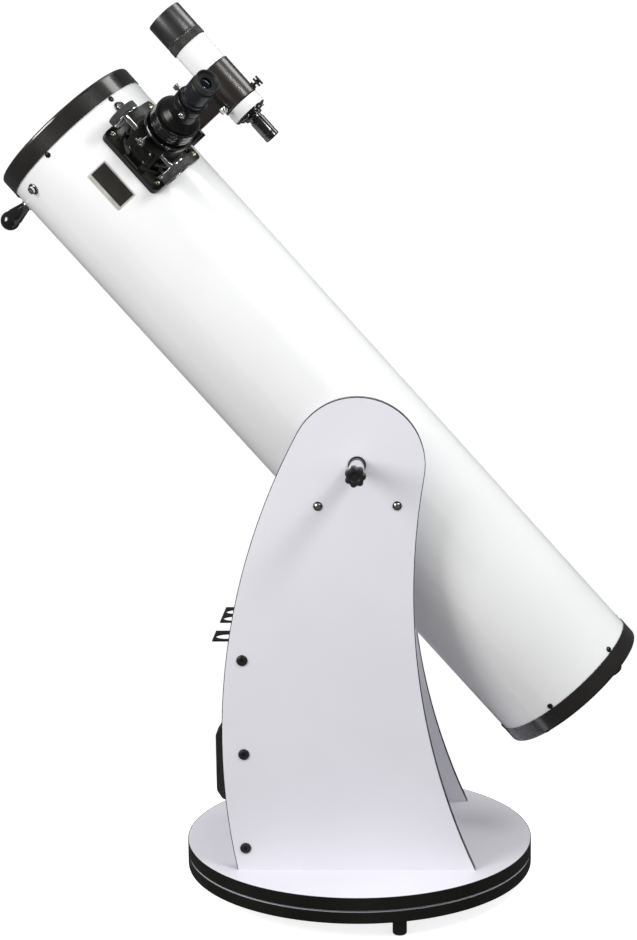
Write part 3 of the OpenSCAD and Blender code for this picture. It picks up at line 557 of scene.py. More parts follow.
NODE_LOOKS = {
    "laminate": ["ground_board", "base_board", "front_board", "left_side_panel", "right_side_panel"],
    "edge_band": ["ground_edge_band", "box_edge_bands"],
    "black_plastic": ["feet", "bolt_caps", "carry_handle", "altitude_bearings", "collimation_knob_1",
                      "collimation_knob_2", "collimation_knob_3", "left_tension_knob",
                      "right_tension_knob", "focus_knobs"],
    "nylon": ["azimuth_pads", "azimuth_bush", "support_cylinders"],
    "zinc": ["azimuth_bolt", "box_screws", "cross_head_screws"],
    "brass_zinc": ["focuser_screws"],
    "anodised": ["eyepiece_rack", "drawtube", "eyepiece_adapter", "eyepiece_body", "finder_shoe",
                 "finder_lock_ring"],
    "cast_black": ["focuser_base", "focuser_body", "mirror_cell", "finder_screw_top",
                   "finder_screw_far"],
    "tube": ["tube"],
    "ring_enamel": ["front_ring", "rear_ring"],
    "screw_black": ["tube_screws"],
    "chrome": ["tension_sleeves", "spider_screws", "focus_shaft", "focus_lock_screw",
               "adapter_screw_front", "adapter_screw_side", "shoe_screw", "finder_plunger"],
    "inside_black": ["spider_vanes", "spider_hub", "secondary_holder"],
    "mirror": ["secondary_mirror", "primary_mirror"],
    "gloss_black": ["tube_knob", "finder_eyepiece"],
    "bracket_black": ["finder_bracket"],
    "shield_black": ["finder_cell"],
    "rubber": ["eyecup"],
    "eye_glass": ["eye_lens"],
    "objective_glass": ["objective_lens"],
    "finder_white": ["finder_tube"],
}


def dress_nodes():
    for look, names in NODE_LOOKS.items():
        for name in names:
            mesh = frame["nodes"][name].data
            mesh.materials.clear()
            mesh.materials.append(LOOKS[look])


# ---------- tension handles ----------


def tension_handles():
    """Chrome sleeve with its black washer, and the seven-lobed knob on the end."""
    length = 246.5
    base = 157.3
    for s, side in ((1, "left"), (-1, "right")):
        m = on_pivot(s)
        sleeve = [(SLEEVE_R, base), (SLEEVE_R, base + 9), (SLEEVE_R - 0.6, base + 9.6),
                  (SLEEVE_R - 0.6, base + 11), (SLEEVE_R, base + 11.6), (SLEEVE_R, length),
                  (STUD_R + 0.6, length), (STUD_R + 0.6, base)]
        place(turned(sleeve, 0.5), f"{side}_sleeve", m, "chrome", "optical_tube",
              ["tension_sleeves"])
        washer = [(12.5, base - 2.4), (12.5, base), (STUD_R + 1.5, base), (STUD_R + 1.5, base - 2.4)]
        place(turned(washer, 0.5), f"{side}_sleeve_washer", m, "black_plastic",
              "optical_tube")
        low, high = length + 0.4, length + 19.8
        knob = [(0, low), (11.6, low), (14.4, low + 2.5, 2), (14.4, high - 3, 3), (12.4, high, 2),
                (7, high, 1), (6, high - 1.4, 1), (0, high - 1.4)]
        bm = turned(knob, 0.6, 168, lobes(7, 0.16, 1.6, 8.0))
        stud = turned([(0, 124), (STUD_R - 0.1, 124), (STUD_R - 0.1, low + 2), (0, low + 2)], 0.3, 32)
        place(join(bm, stud), f"{side}_tension_grip", m, "black_plastic",
              f"{side}_tension", [f"{side}_tension_knob"])


# ---------- rocker box trim ----------

PANEL_Y = 154.5
SUPPORT = {"dx": 55.0, "z": 591.87}
FRONT_X = -158.8
FRONT_FACE_X = -166.8
CAP_Z = (96.0, 235.0, 372.0)


def on_panel(s, x, z):
    """+Z out of the outer face of a side board, at x and z."""
    return Matrix.Translation((x, -s * PANEL_Y, z)) @ Matrix.Rotation(math.radians(90 * s), 4, "X")


def hexagon(across, z0, z1):
    r = across / math.sqrt(3)
    points = [(r * math.cos(math.radians(60 * k)), r * math.sin(math.radians(60 * k))) for k in range(6)]
    return prism(bmesh.new(), points, z0, z1)


def panel_trim():
    """Black cups around the support screws, and domed caps with a hexagon hollow over the bolts."""
    cups, caps = bmesh.new(), bmesh.new()
    for s in (1, -1):
        for dx in (-SUPPORT["dx"], SUPPORT["dx"]):
            cup = turned([(4.75, 0), (6.6, 0), (6.2, 1.2), (5.4, 1.9), (4.75, 1.5)], 0.3, 48)
            cup.transform(on_panel(s, PIVOT.x + dx, SUPPORT["z"]))
            join(cups, cup)
        for z in CAP_Z:
            dome = [(0, 3.0), (5.2, 2.9, 1), (7.4, 1.9, 1), (8.0, 0.7, 0.6), (8.0, 0), (0, 0)]
            cap = minus(turned(dome, 0.3, 64), hexagon(5.0, 1.1, 5))
            cap.transform(on_panel(s, FRONT_X, z))
            join(caps, cap)
    place(cups, "support_screw_cups", Matrix(), "black_plastic", "rocker_box")
    place(caps, "bolt_cap_domes", Matrix(), "black_plastic", "rocker_box",
          ["bolt_caps"])


def handle():
    """Moulded loop handle, bowed outwards, with finger ribs inside the grip."""
    low, high, out, bar, half = 112.0, 243.0, -47.0, 13.0, 15.0
    outline = [(0, low), (-4, low, 1.5), (-4, low + 14, 2), (-10, low + 14, 3), (out + 10, low + 6, 8),
               (out, low + 22, 12), (out, (low + high) / 2, 0), (out, high - 22, 12),
               (out + 10, high - 6, 8), (-10, high - 14, 3), (-4, high - 14, 2), (-4, high, 1.5),
               (0, high), (0, high - 30), (-12, high - 30, 5), (out + bar + 4, high - 26, 5),
               (out + bar, high - 36, 5), (out + bar, low + 36, 5), (out + bar + 4, low + 26, 5),
               (-12, low + 30, 5), (0, low + 30)]
    bm = prism(bmesh.new(), rounded(outline, 0), -half, half)
    bm.transform(Matrix.Translation((FRONT_FACE_X, 0, 0)) @ Matrix.Rotation(math.radians(90), 4, "X"))
    place(bm, "loop_handle", Matrix(), "black_plastic", "rocker_box",
          ["carry_handle"], 30, 2.2)
    ribs = bmesh.new()
    for k in range(9):
        z = low + 45 + k * (high - low - 90) / 8
        rib = turned([(0, -half + 3), (1.3, -half + 3), (1.3, half - 3), (0, half - 3)], 0.5, 20)
        rib.transform(Matrix.Translation((FRONT_FACE_X + out + bar + 0.2, 0, z))
                      @ Matrix.Rotation(math.radians(90), 4, "X"))
        join(ribs, rib)
    place(ribs, "handle_ribs", Matrix(), "black_plastic", "rocker_box")


# ---------- optical tube trim ----------


def pear_knob():
    foot, r, middle = TUBE_R + 0.3, 14.0, 150.5
    profile = [(0, foot), (6.8, foot), (7.2, foot + 1.5), (9.3, foot + 11), (11.9, foot + 21)]
    for k in range(19):
        a = math.radians(-28 + k * 118 / 18)
        profile.append((r * math.cos(a), middle + r * math.sin(a)))
    profile = [point for point in profile if point[0] > 0.05 or point[1] == foot] + [(0, middle + r)]
    m = outward(on_tube(SPIDER_T, TUBE_KNOB_A))
    place(lathe(bmesh.new(), profile), "pear_knob", m, "gloss_black", "optical_tube", ["tube_knob"], 50)
    collar = [(5, foot - 0.2), (8.6, foot - 0.2), (8.6, foot + 1), (7, foot + 1.6), (5, foot + 1.6)]
    place(turned(collar, 0.3), "pear_knob_washer", m, "chrome", "optical_tube")


def spider_nuts():
    """Cap nuts with a cross recess on black washers, where the vanes are drawn to the tube."""
    nuts, washers = bmesh.new(), bmesh.new()
    for k in range(4):
        m = outward(on_tube(SPIDER_T, FOCUSER_A + 90 * k)) @ Matrix.Translation((0, 0, TUBE_R))
        nut = screw_head(bmesh.new(), 5.6, 3.6, 1.9, 0.5)
        nut.transform(m)
        join(nuts, nut)
        washer = turned([(3, 0.1), (8.2, 0.1), (8.2, 0.9), (7.0, 1.9), (3, 1.9)], 0.35, 56)
        washer.transform(m)
        join(washers, washer)
    place(nuts, "spider_nut_heads", Matrix(), "chrome", "optical_tube")
    place(washers, "spider_washers", Matrix(), "screw_black", "optical_tube")


def curved_plate(r0, r1, t, a, corner, steps=14):
    """A plate bent round the tube, between two radii, two lengths t and two angles a."""
    mid_r = (r0 + r1) / 2
    w = math.radians(a[1] - a[0]) * mid_r
    outline = rounded([(t[0], 0), (t[1], 0), (t[1], w), (t[0], w)], corner, 4)
    low_v = sorted({round(v, 4) for _, v in outline} | {w * k / steps for k in range(steps + 1)})
    bm = bmesh.new()
    columns = []
    for v in low_v:
        inside = min(v, w - v)
        cut = corner - math.sqrt(max(corner**2 - (corner - inside) ** 2, 0)) if inside < corner else 0
        angle = math.radians(a[0]) + v / mid_r
        columns.append((angle, t[0] + cut, t[1] - cut))
    rows = []
    for angle, ta, tb in columns:
        row = []
        for r, z in ((r0, ta), (r0, tb), (r1, tb), (r1, ta)):
            row.append(bm.verts.new((r * math.sin(angle), -r * math.cos(angle), z)))
        rows.append(row)
    for this, after in zip(rows, rows[1:]):
        for k in range(4):
            j = (k + 1) % 4
            bm.faces.new((this[k], after[k], after[j], this[j]))
    bm.faces.new(rows[0])
    bm.faces.new(rows[-1])
    return bm


def info_plate():
    """Blank plate in front of the focuser: black field in a bright frame, bent to the tube."""
    t, a, edge = PLATE_T, PLATE_A, 2.0
    deg = math.degrees(edge / TUBE_R)
    frame_piece = curved_plate(TUBE_R, TUBE_R + 0.5, t, a, 1.2)
    place(frame_piece, "info_plate_frame", on_tube(), "plate_silver", "optical_tube")
    low = (a[0] + deg * 3.0, a[1] - deg)
    field = curved_plate(TUBE_R + 0.2, TUBE_R + 0.75, (t[0] + edge, t[1] - edge), low, 0.8)
    place(field, "info_plate_field", on_tube(), "plate_black", "optical_tube")


def rear_end():
    """Springs and knobs of the main mirror's adjustment."""
    for k, angle in enumerate(CELL_ANGLES):
        m = on_tube(REAR_T, angle) @ Matrix.Translation((75, 0, 0))
        low, high = -15.8, -0.5
        profile = [(0, low), (8.6, low, 1.2), (11, low + 2.2, 1.5), (11, high - 1.6, 1.2), (9.5, high),
                   (0, high)]
        bm = turned(profile, 0.5, 120, lobes(12, 0.09, 1.3, 8.0))
        stud = turned([(0, -2), (2.95, -2), (2.95, 36), (0, 36)], 0.3, 32)
        place(join(bm, stud), f"collimation_grip_{k + 1}", m, "black_plastic",
              f"collimation_{k + 1}", [f"collimation_knob_{k + 1}"])
        turns, start, end, r = 5, 5.2, 28.4, 5.6
        points = []
        for i in range(turns * 24 + 1):
            u = i / (turns * 24)
            b = 2 * math.pi * turns * u
            points.append(Vector((r * math.cos(b), r * math.sin(b), start + (end - start) * u)))
        place(swept(bmesh.new(), points, 0.75, sides=8), f"collimation_spring_{k + 1}", m,
              "zinc", "optical_tube")


# ---------- focuser ----------


def arc_wall(bm, r, a, z, steps=24):
    """A wall between two radii, over the angles a, from z[0] to z[1]."""
    outer, inner = [], []
    for k in range(steps + 1):
        b = math.radians(a[0] + (a[1] - a[0]) * k / steps)
        outer.append((r[1] * math.cos(b), r[1] * math.sin(b)))
        inner.append((r[0] * math.cos(b), r[0] * math.sin(b)))
    return prism(bm, outer + inner[::-1], *z)


def focuser_details():
    """Cast ribs around the flange, the pinion's cover with its screws, and the housing's rolled lip."""
    m = on_focuser()
    ribs = bmesh.new()
    for turn in ((118, 166), (194, 242), (-55, 55)):
        arc_wall(ribs, (40.6, 43.0), turn, (129.5, 133.5))
    arc_wall(ribs, (36.4, 38.0), (0, 359.9), (129.5, 131.5), 72)
    for turn in ((127, 166), (194, 233)):
        arc_wall(ribs, (45.8, 48.4), turn, (112, 125))
    block(ribs, (-50.6, -48.8), (FOCUSER_DY - 13, FOCUSER_DY + 13), (112, 118.5))
    for y in (-13, 13):
        block(ribs, (-50.6, -44), (FOCUSER_DY + y - 0.9, FOCUSER_DY + y + 0.9), (112, 118.5))
    # The ribs take the lighter black, which paints a highlight onto them.
    place(ribs, "focuser_ribs", m, "rib_painted_highlight", "optical_tube", (), 30, 0.5)
    plate = prism(bmesh.new(), rounded([(-18, -15), (18, -15), (18, 15), (-18, 15)], 5), 0, 2.4)
    raised = prism(bmesh.new(), rounded([(-9.5, -9), (9.5, -9), (9.5, 9), (-9.5, 9)], 3), 2.3, 3.6)
    outwards = Matrix.Rotation(math.radians(-90), 4, "Y")
    where = m @ Matrix.Translation((PINION_COVER_X, FOCUSER_DY, PINION_COVER_Z)) @ outwards
    where = where @ Matrix.Rotation(math.radians(90), 4, "Z")
    place(join(plate, raised), "pinion_cover", where, "cast_black", "optical_tube", (), 30, 0.6)
    screws = bmesh.new()
    for x in (-13.5, 13.5):
        for y in (-11, 11):
            head = turned([(0, 2.2), (1.9, 2.2), (1.9, 3.2), (1.4, 3.8), (0, 3.8)], 0.2, 24)
            head.transform(Matrix.Translation((x, y, 0)))
            join(screws, head)
    place(screws, "cover_screws", where, "screw_bright", "optical_tube")
    top = HOUSING_TOP
    lip = turned([(HOUSING_R - 1, top - 6.6), (35.8, top - 6.6), (35.8, top - 0.9), (34.9, top + 0.3),
                  (DRAW_R + 2.4, top + 0.3), (DRAW_R + 0.4, top - 1.2), (DRAW_R + 0.4, top - 6.6)], 0.5, 144)
    place(lip, "housing_lip", m, "gloss_black", "optical_tube")
    rim = [(33.3, top), (34.9, top), (35.5, top + 0.5), (34.9, top + 1.1), (33.3, top + 1.1)]
    place(turned(rim, 0.3, 144), "housing_rim", m, "rim_polished", "optical_tube")


def draw_details():
    """Collar and adapter, turned with several steps."""
    m = on_focuser()
    low, high = COLLAR_Z
    collar = [(25.6, low - 0.4), (32.2, low - 0.4), (33.15, low + 0.6), (33.15, low + 4.4), (32.3, low + 5),
              (32.3, low + 6), (33.15, low + 6.6), (33.15, low + 12), (32.3, low + 12.6), (32.3, low + 13.6),
              (33.15, low + 14.2), (33.15, high - 1.4), (32.0, high + 0.05), (25.6, high + 0.05)]
    place(turned(collar, 0.25, 128), "draw_collar", m, "gloss_black", "draw")
    adapter = [(16.0, 181), (25.3, 181), (25.3, high), (28.4, high + 0.1), (29.2, high + 0.9),
               (29.2, high + 5.6), (28.2, high + 6.6), (27.2, high + 7.2), (24.0, high + 13.2, 3),
               (22.1, high + 16.5, 2), (22.1, ADAPTER_TOP - 13), (21.5, ADAPTER_TOP - 12.5),
               (21.5, ADAPTER_TOP - 11.9), (22.1, ADAPTER_TOP - 11.4), (22.1, ADAPTER_TOP - 1.2),
               (21.2, ADAPTER_TOP), (16.6, ADAPTER_TOP), (16.0, ADAPTER_TOP - 0.6)]
    place(turned(adapter, 0.3, 128), "adapter_shell", m, "anodised", "draw", ["eyepiece_adapter"])


def knurled_screw(shank_r, length, head, collar, ribs=26, cap=0.7):
    """Thumbscrew along +Z: shank below 0, a plain collar, then a ribbed head over head = (r, z0, z1)."""
    r, z0, z1 = head
    shank = [(0, -length), (shank_r, -length, 0.5), (shank_r, 0), (collar, 0.1), (collar, z0), (0, z0)]
    bm = turned(shank, 0.2, 40)
    profile = [(0, z0 - 0.1), (r - cap, z0 - 0.1), (r, z0 + cap), (r, z1 - cap), (r - cap, z1),
               (r * 0.45, z1), (r * 0.4, z1 - 0.5), (0, z1 - 0.5)]
    return join(bm, turned(profile, 0.2, ribs * 6, lobes(ribs, 0.07, 1.0, r * 0.8)))


def thumbscrews():
    inward = Matrix.Rotation(math.radians(-90), 4, "Y")
    spots = (
        ("focus_lock_screw", "focus_lock", on_focuser() @ Matrix.Translation(LOCK_SCREW_AT) @ inward,
         2.45, 19.4, (5.5, 1.8, 8.0), 3.2),
        ("adapter_screw_front", "adapter_front", adapter_screw_place(195), 1.95, 6.0, (4.5, 1.6, 8.0), 2.6),
        ("adapter_screw_side", "adapter_side", adapter_screw_place(90), 1.95, 6.0, (4.5, 1.6, 8.0), 2.6),
        ("shoe_screw", "shoe_lock", on_tube(SHOE_SCREW_T, 90) @ Matrix.Translation((-24.4, -134, 0)) @ inward,
         2.45, 9.0, (6.5, 2.5, 9.0), 3.6),
    )
    for node, body, where, shank, length, head, collar in spots:
        bm = knurled_screw(shank, length, head, collar)
        look = "screw_satin" if node == "focus_lock_screw" else "chrome"
        place(bm, node + "_knurled", where, look, body, [node])


def adapter_screw_place(a):
    turn = Matrix.Rotation(math.radians(a), 4, "Z")
    lean = Matrix.Rotation(math.radians(90), 4, "Y")
    return on_focuser() @ turn @ Matrix.Translation((22.4, 0, ADAPTER_SCREW_Z)) @ lean


def focus_knobs():
    """Ribbed wheels on polished flanges, with a hollow face, a bright hub and a screw in the middle."""
    grips, flanges, hubs = bmesh.new(), bmesh.new(), bmesh.new()
    for s in (1, -1):
        m = on_focuser() @ Matrix.Translation((SHAFT_X, FOCUSER_DY + s * WHEEL_Y, SHAFT_Z))
        m = m @ Matrix.Rotation(math.radians(-90 * s), 4, "X")
        flange = turned([(SHAFT_R + 0.2, -6.5), (6, -6.5), (20.3, -6.5), (21.1, -5.7), (21.1, -4.3),
                         (20.4, -3.7), (SHAFT_R + 0.2, -3.7)], 0.25, 128)
        flange.transform(m)
        join(flanges, flange)
        profile = [(SHAFT_R + 0.2, -3.8), (20.6, -3.8, 0.5), (21.9, -3.0, 0.6), (21.9, 5.2, 1),
                   (20.4, 6.4, 0.8), (17.0, 6.4), (16.2, 4.6), (8.4, 4.6), (8.0, 6.0), (SHAFT_R + 0.2, 6.0)]
        grip = turned(profile, 0.3, 240, lobes(48, 0.035, 1.0, 19.5))
        grip.transform(m)
        join(grips, grip)
        hub = turned([(0, 5.4), (5.4, 5.4), (5.4, 6.9), (4.6, 7.4), (0, 7.4)], 0.2, 40)
        hub = minus(hub, hexagon(3.0, 6.0, 9))
        hub.transform(m)
        join(hubs, hub)
    place(grips, "focus_wheels", Matrix(), "knob_grey", "focus_drive", ["focus_knobs"])
    place(flanges, "focus_wheel_flanges", Matrix(), "chrome", "focus_drive")
    place(hubs, "focus_wheel_caps", Matrix(), "chrome", "focus_drive")


def eyepiece():
    m = on_focuser()
    base = ADAPTER_TOP
    body = [(12.2, base - 29.8), (15.3, base - 29.8), (15.85, base - 29.2), (15.85, base - 14, 0),
            (15.5, base - 13.6), (15.5, base - 9.6), (15.85, base - 9.2), (15.85, base + 0.3),
            (18.4, base + 0.35), (18.7, base + 0.8), (18.7, base + 7.4), (18.1, base + 8),
            (17.1, base + 8.3), (17.1, base + 10.6), (18.0, base + 11.2), (18.15, base + 12),
            (18.15, base + 34.2, 2),
            (16.4, base + 36, 1), (14.6, base + 36.4), (14.6, base + 40), (10.1, base + 40),
            (10.1, base + 38.4), (12.2, base + 38)]
    place(turned(body, 0.3, 128), "eyepiece_shell", m, "slate", "eyepiece", ["eyepiece_body"])
    top = base + 47.2
    cup = [(14.62, base + 36.6), (16.7, base + 36.6), (17.2, base + 37.4), (17.0, base + 41),
           (17.3, top - 1.2), (17.0, top - 0.3), (16.3, top), (15.6, top - 0.4),
           (13.4, base + 41.3), (12.2, base + 40.6), (12.2, base + 40.05), (14.62, base + 40.05)]
    place(turned(cup, 0.35, 128), "eyecup_rubber", m, "rubber", "eyepiece", ["eyecup"])
    lens = [(0, base + 38.2), (10.0, base + 38.2)]
    for k in range(9):
        r = 10.0 * (8 - k) / 8
        lens.append((r, base + 38.6 + 1.6 * (1 - (r / 10.0) ** 2)))
    place(lathe(bmesh.new(), lens, 96), "eye_lens_domed", m, "eye_glass", "eyepiece", ["eye_lens"])
    stop = turned([(8.2, base + 40.5), (8.6, base + 41.3), (13.0, base + 42.4), (14.4, base + 42.4),
                   (14.4, base + 40.1), (8.2, base + 40.1)], 0.25, 96)
    place(stop, "eye_stop", m, "inside_black", "eyepiece")


# ---------- finder ----------


def finder():
    m = on_finder()
    low, high = FINDER_T["cell"]
    cell = [(25.26, low + 0.3), (27.2, low + 0.3), (27.7, low + 0.9), (27.7, low + 1.9), (27.3, low + 2.3),
            (27.3, low + 3.1), (27.7, low + 3.5), (27.7, high - 1.2), (27.2, high - 0.05),
            (26.3, high - 0.05),
            (25.95, high - 0.8), (25.95, low + 21), (25.0, low + 21), (25.0, low + 20), (25.95, low + 19.8),
            (25.95, low + 14), (24.1, low + 14), (24.1, low + 8), (25.26, low + 8)]
    place(turned(cell, 0.2, 128), "dew_shield", m, "shield_black", "finder_front",
          ["finder_cell"])
    z0, z1 = FINDER_T["front"] + 0.35, low - 0.35
    ring = [(25.3, z0), (27.4, z0), (28.0, z0 + 0.8), (28.0, z1 - 0.8), (27.4, z1), (25.3, z1)]
    place(turned(ring, 0.2, 540, lobes(90, 0.022, 1.0, 27.2)), "lock_ring_knurled", m, "ring_grey",
          "finder_lock", ["finder_lock_ring"])
    rear = FINDER_T["rear"]
    cap = [(10.1, rear - 2.3), (24.2, rear - 2.3), (25.4, rear - 1.4), (25.4, rear - 0.05),
           (10.1, rear - 0.05)]
    place(turned(cap, 0.3, 112), "finder_end_cap", m, "gloss_black", "finder")
    steps = [(0.2, 429), (9.1, 429), (9.1, 419.4), (9.8, 418.2), (10.8, 418.2), (11.35, 418.9),
             (11.35, 425.6), (10.9, 426), (10.9, 427.2), (11.35, 427.6), (11.35, 451.4), (10.6, 452),
             (10.2, 452.6), (10.2, 456.8), (13.2, 456.8), (13.9, 457.5), (13.9, 460.1), (13.2, 460.8),
             (18.6, 461.4), (19.4, 462.2), (19.4, 463.8), (18.6, rear - 2.3), (0.2, rear - 2.3)]
    place(turned(steps, 0.25, 112), "finder_eyepiece_shell", m, "gloss_black", "finder", ["finder_eyepiece"])
    glass = [(0, 428.9), (9.0, 428.9)]
    for k in range(9):
        glass.append((9.0 * (8 - k) / 8, 426.4 - 1.3 * (1 - ((8 - k) / 8) ** 2)))
    place(lathe(bmesh.new(), glass, 72), "finder_eye_glass", m, "eye_glass", "finder")
    knurl = turned([(13.6, 457.8), (14.3, 458.1), (14.3, 459.6), (13.6, 459.9)], 0.1, 240,
                   lobes(40, 0.03, 1.0, 14.0))
    place(knurl, "finder_eyepiece_knurl", m, "anodised", "finder")
    pins = bmesh.new()
    for a in (20, 140, 260):
        pin = turned([(0, 18), (1.3, 18), (1.3, 23), (0.9, 23.4), (0, 23.4)], 0.2, 24)
        pin.transform(Matrix.Rotation(math.radians(a), 4, "Z") @ Matrix.Translation((0, 0, FINDER_PIN_T))
                      @ Matrix.Rotation(math.radians(90), 4, "X"))
        join(pins, pin)
    place(pins, "finder_set_screws", m, "chrome", "finder")


def finder_screw_frame(a):
    turn = Matrix.Rotation(math.radians(a), 4, "Z") @ Matrix.Rotation(math.radians(90), 4, "X")
    return on_finder(FINDER_SCREW_T) @ turn


def finder_screws():
    for node, body, a in (("finder_screw_top", "finder_top", 0), ("finder_screw_far", "finder_far", 90)):
        bm = turned([(0, 22.8), (1.95, 22.8, 0.8), (1.95, 33.4), (0, 33.4)], 0.2, 32)
        for z in (33.4, 38.3):
            disc = [(0, z), (6.9, z), (7.5, z + 0.7), (7.5, z + 2.3), (6.9, z + 3.0), (0, z + 3.0)]
            join(bm, turned(disc, 0.25, 120, lobes(20, 0.05, 1.0, 6.5)))
        join(bm, turned([(0, 36.3), (3.6, 36.3, 1), (3.0, 37.4), (3.6, 38.4, 1), (0, 38.4)], 0.2, 40))
        place(bm, node + "_knob", finder_screw_frame(a), "black_plastic", body, [node])
    spring = [(0, 22.8), (2.95, 22.8, 1), (2.95, 32.5), (4.6, 32.7), (5.0, 33.2), (5.0, 35.2), (4.4, 35.7),
              (4.4, 36.6), (5.0, 37.1), (5.0, 39.8), (4.2, 40.5), (0, 40.5)]
    place(turned(spring, 0.25, 64), "plunger_turned", finder_screw_frame(225), "chrome",
          "finder_spring", ["finder_plunger"])
    nut = turned([(3.2, 30.6), (5.8, 30.6), (5.8, 31.5), (3.2, 31.5)], 0.2, 48)
    place(nut, "plunger_lock_nut", finder_screw_frame(225), "screw_black", "finder_mount")


def bracket_trim():
    """Rolled rims of the finder's ring and the o-ring inside its front."""
    m = on_finder()
    low, high = FINDER_T["ring"]
    rims = bmesh.new()
    for z0, z1 in ((low - 0.1, low + 1.6), (high - 1.6, high + 0.1)):
        rim = [(24.6, z0), (27.5, z0), (27.9, z0 + 0.5), (27.9, z1 - 0.5), (27.5, z1), (24.6, z1)]
        join(rims, turned(rim, 0.2, 128))
    place(rims, "bracket_rims", m, "bracket_black", "finder_mount")
    points = []
    for k in range(96):
        a = 2 * math.pi * k / 96
        points.append(Vector((23.4 * math.cos(a), 23.4 * math.sin(a), high - 3)))
    place(swept(bmesh.new(), points, 1.0, True), "finder_o_ring", m, "rubber", "finder")


# ---------- camera, floor and light ----------

CAMERA_AT = (0.0631863, -2.5492188, 1.002288)
CAMERA_TURN = {"yaw": -0.0461, "pitch": 0.1489, "roll": -0.0133}
LENS_MM = 67.15


def make_camera():
    yaw, pitch, roll = CAMERA_TURN["yaw"], CAMERA_TURN["pitch"], CAMERA_TURN["roll"]
    ahead = Vector((math.sin(yaw) * math.cos(pitch), math.cos(yaw) * math.cos(pitch), -math.sin(pitch)))
    right = Vector((math.cos(yaw), -math.sin(yaw), 0))
    up = right.cross(ahead)
    x = right * math.cos(roll) + up * math.sin(roll)
    y = up * math.cos(roll) - right * math.sin(roll)
    data = bpy.data.cameras.new("camera")
    data.lens = LENS_MM
    data.sensor_width = 36.0
    data.sensor_fit = "AUTO"
    camera = bpy.data.objects.new("camera", data)
    camera.matrix_world = frame_matrix(x, y, -ahead, Vector(CAMERA_AT))
    bpy.context.scene.collection.objects.link(camera)
    bpy.context.scene.camera = camera


def make_floor():
    """A pale floor with a soft contact shadow, even white farther out. It throws little light back,
    and less into reflections."""
    m = Nodes("floor_pale")
    m.colour(m.ramp(m.noise(0.8, 3), (0.80, 0.80, 0.80), (0.83, 0.83, 0.83)))
    m.roughness(m.ramp(m.noise(6, 4), 0.85, 0.95))
    m.set(Emission_Color=(1, 1, 1, 1), Emission_Strength=FLOOR_GLOW, Specular_IOR_Level=0.0)
    far = m.new("ShaderNodeEmission")
    far.inputs["Strength"].default_value = WHITE
    distance = m.new("ShaderNodeVectorMath", operation="LENGTH")
    m.link(m.place, distance.inputs[0])
    reach = m.new("ShaderNodeMapRange", interpolation_type="SMOOTHSTEP")
    reach.inputs["From Min"].default_value = 0.3
    reach.inputs["From Max"].default_value = 0.62
    m.link(distance.outputs["Value"], reach.inputs["Value"])
    mix = m.new("ShaderNodeMixShader")
    m.link(reach.outputs["Result"], mix.inputs[0])
    m.link(m.shader.outputs[0], mix.inputs[1])
    m.link(far.outputs[0], mix.inputs[2])
    bounce = m.new("ShaderNodeEmission")
    bounce.inputs["Strength"].default_value = FLOOR_BOUNCE
    path = m.new("ShaderNodeLightPath")
    seen = m.new("ShaderNodeMixShader")
    m.link(path.outputs["Is Camera Ray"], seen.inputs[0])
    shine = m.new("ShaderNodeEmission")
    shine.inputs["Strength"].default_value = FLOOR_IN_GLOSS
    thrown = m.new("ShaderNodeMixShader")
    m.link(path.outputs["Is Glossy Ray"], thrown.inputs[0])
    m.link(bounce.outputs[0], thrown.inputs[1])
    m.link(shine.outputs[0], thrown.inputs[2])
    m.link(thrown.outputs[0], seen.inputs[1])
    m.link(mix.outputs[0], seen.inputs[2])
    m.link(seen.outputs[0], m.tree.nodes["Material Output"].inputs["Surface"])
    bm = bmesh.new()
    bmesh.ops.create_grid(bm, x_segments=2, y_segments=2, size=60)
    mesh = bpy.data.meshes.new("floor")
    bm.to_mesh(mesh)
    bm.free()
    mesh.materials.append(m.material)
    floor = bpy.data.objects.new("floor", mesh)
    floor.location.z = -0.0005
    bpy.context.scene.collection.objects.link(floor)


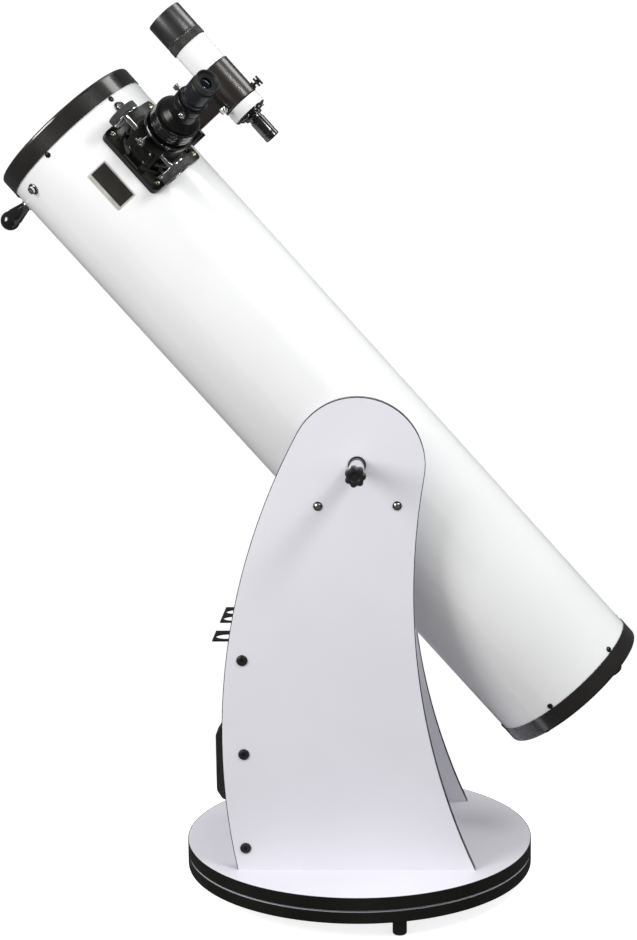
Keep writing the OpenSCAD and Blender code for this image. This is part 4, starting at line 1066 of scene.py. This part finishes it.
def area_light(name, at, aim, size, power, colour=(1, 1, 1)):
    data = bpy.data.lights.new(name, "AREA")
    data.shape = "RECTANGLE"
    data.size, data.size_y = size
    data.energy = power
    data.color = colour
    light = bpy.data.objects.new(name, data)
    light.location = at
    light.rotation_mode = "QUATERNION"
    light.rotation_quaternion = (Vector(aim) - Vector(at)).to_track_quat("-Z", "Y")
    bpy.context.scene.collection.objects.link(light)


def make_light():
    """White surroundings that light the object evenly, seen dim in its reflections, and soft boxes."""
    world = bpy.data.worlds.new("studio")
    bpy.context.scene.world = world
    world.use_nodes = True
    tree = world.node_tree
    path = tree.nodes.new("ShaderNodeLightPath")
    shader = tree.nodes["Background"]
    shader.inputs["Strength"].default_value = ROOM_LIGHT
    for ray, strength in (("Is Glossy Ray", ROOM_IN_GLOSS), ("Is Camera Ray", WHITE)):
        seen = tree.nodes.new("ShaderNodeBackground")
        seen.inputs["Color"].default_value = (1, 1, 1, 1)
        seen.inputs["Strength"].default_value = strength
        mix = tree.nodes.new("ShaderNodeMixShader")
        tree.links.new(path.outputs[ray], mix.inputs[0])
        tree.links.new(shader.outputs[0], mix.inputs[1])
        tree.links.new(seen.outputs[0], mix.inputs[2])
        shader = mix
    tree.nodes["Background"].inputs["Color"].default_value = (1, 1, 1, 1)
    tree.links.new(shader.outputs[0], tree.nodes["World Output"].inputs["Surface"])
    middle = (0, 0, 0.7)
    area_light("key", (1.14, -1.2, 2.08), middle, (0.5, 0.5), 18)
    area_light("left", (-1.55, -1.3, 1.5), (-0.3, 0, 1.1), (0.8, 1.1), 28, (1.0, 0.985, 0.98))
    area_light("top", (0.2, 0.8, 3.4), middle, (2.4, 1.2), 9)
    area_light("rim", (0.75, 0.32, 1.95), (-0.25, 0, 1.1), (0.55, 0.9), 6)


dress_nodes()
tension_handles()
panel_trim()
handle()
pear_knob()
spider_nuts()
info_plate()
rear_end()
focuser_details()
draw_details()
thumbscrews()
focus_knobs()
eyepiece()
finder()
finder_screws()
bracket_trim()
make_camera()
make_floor()
make_light()
bpy.context.scene.view_settings.view_transform = "Standard"
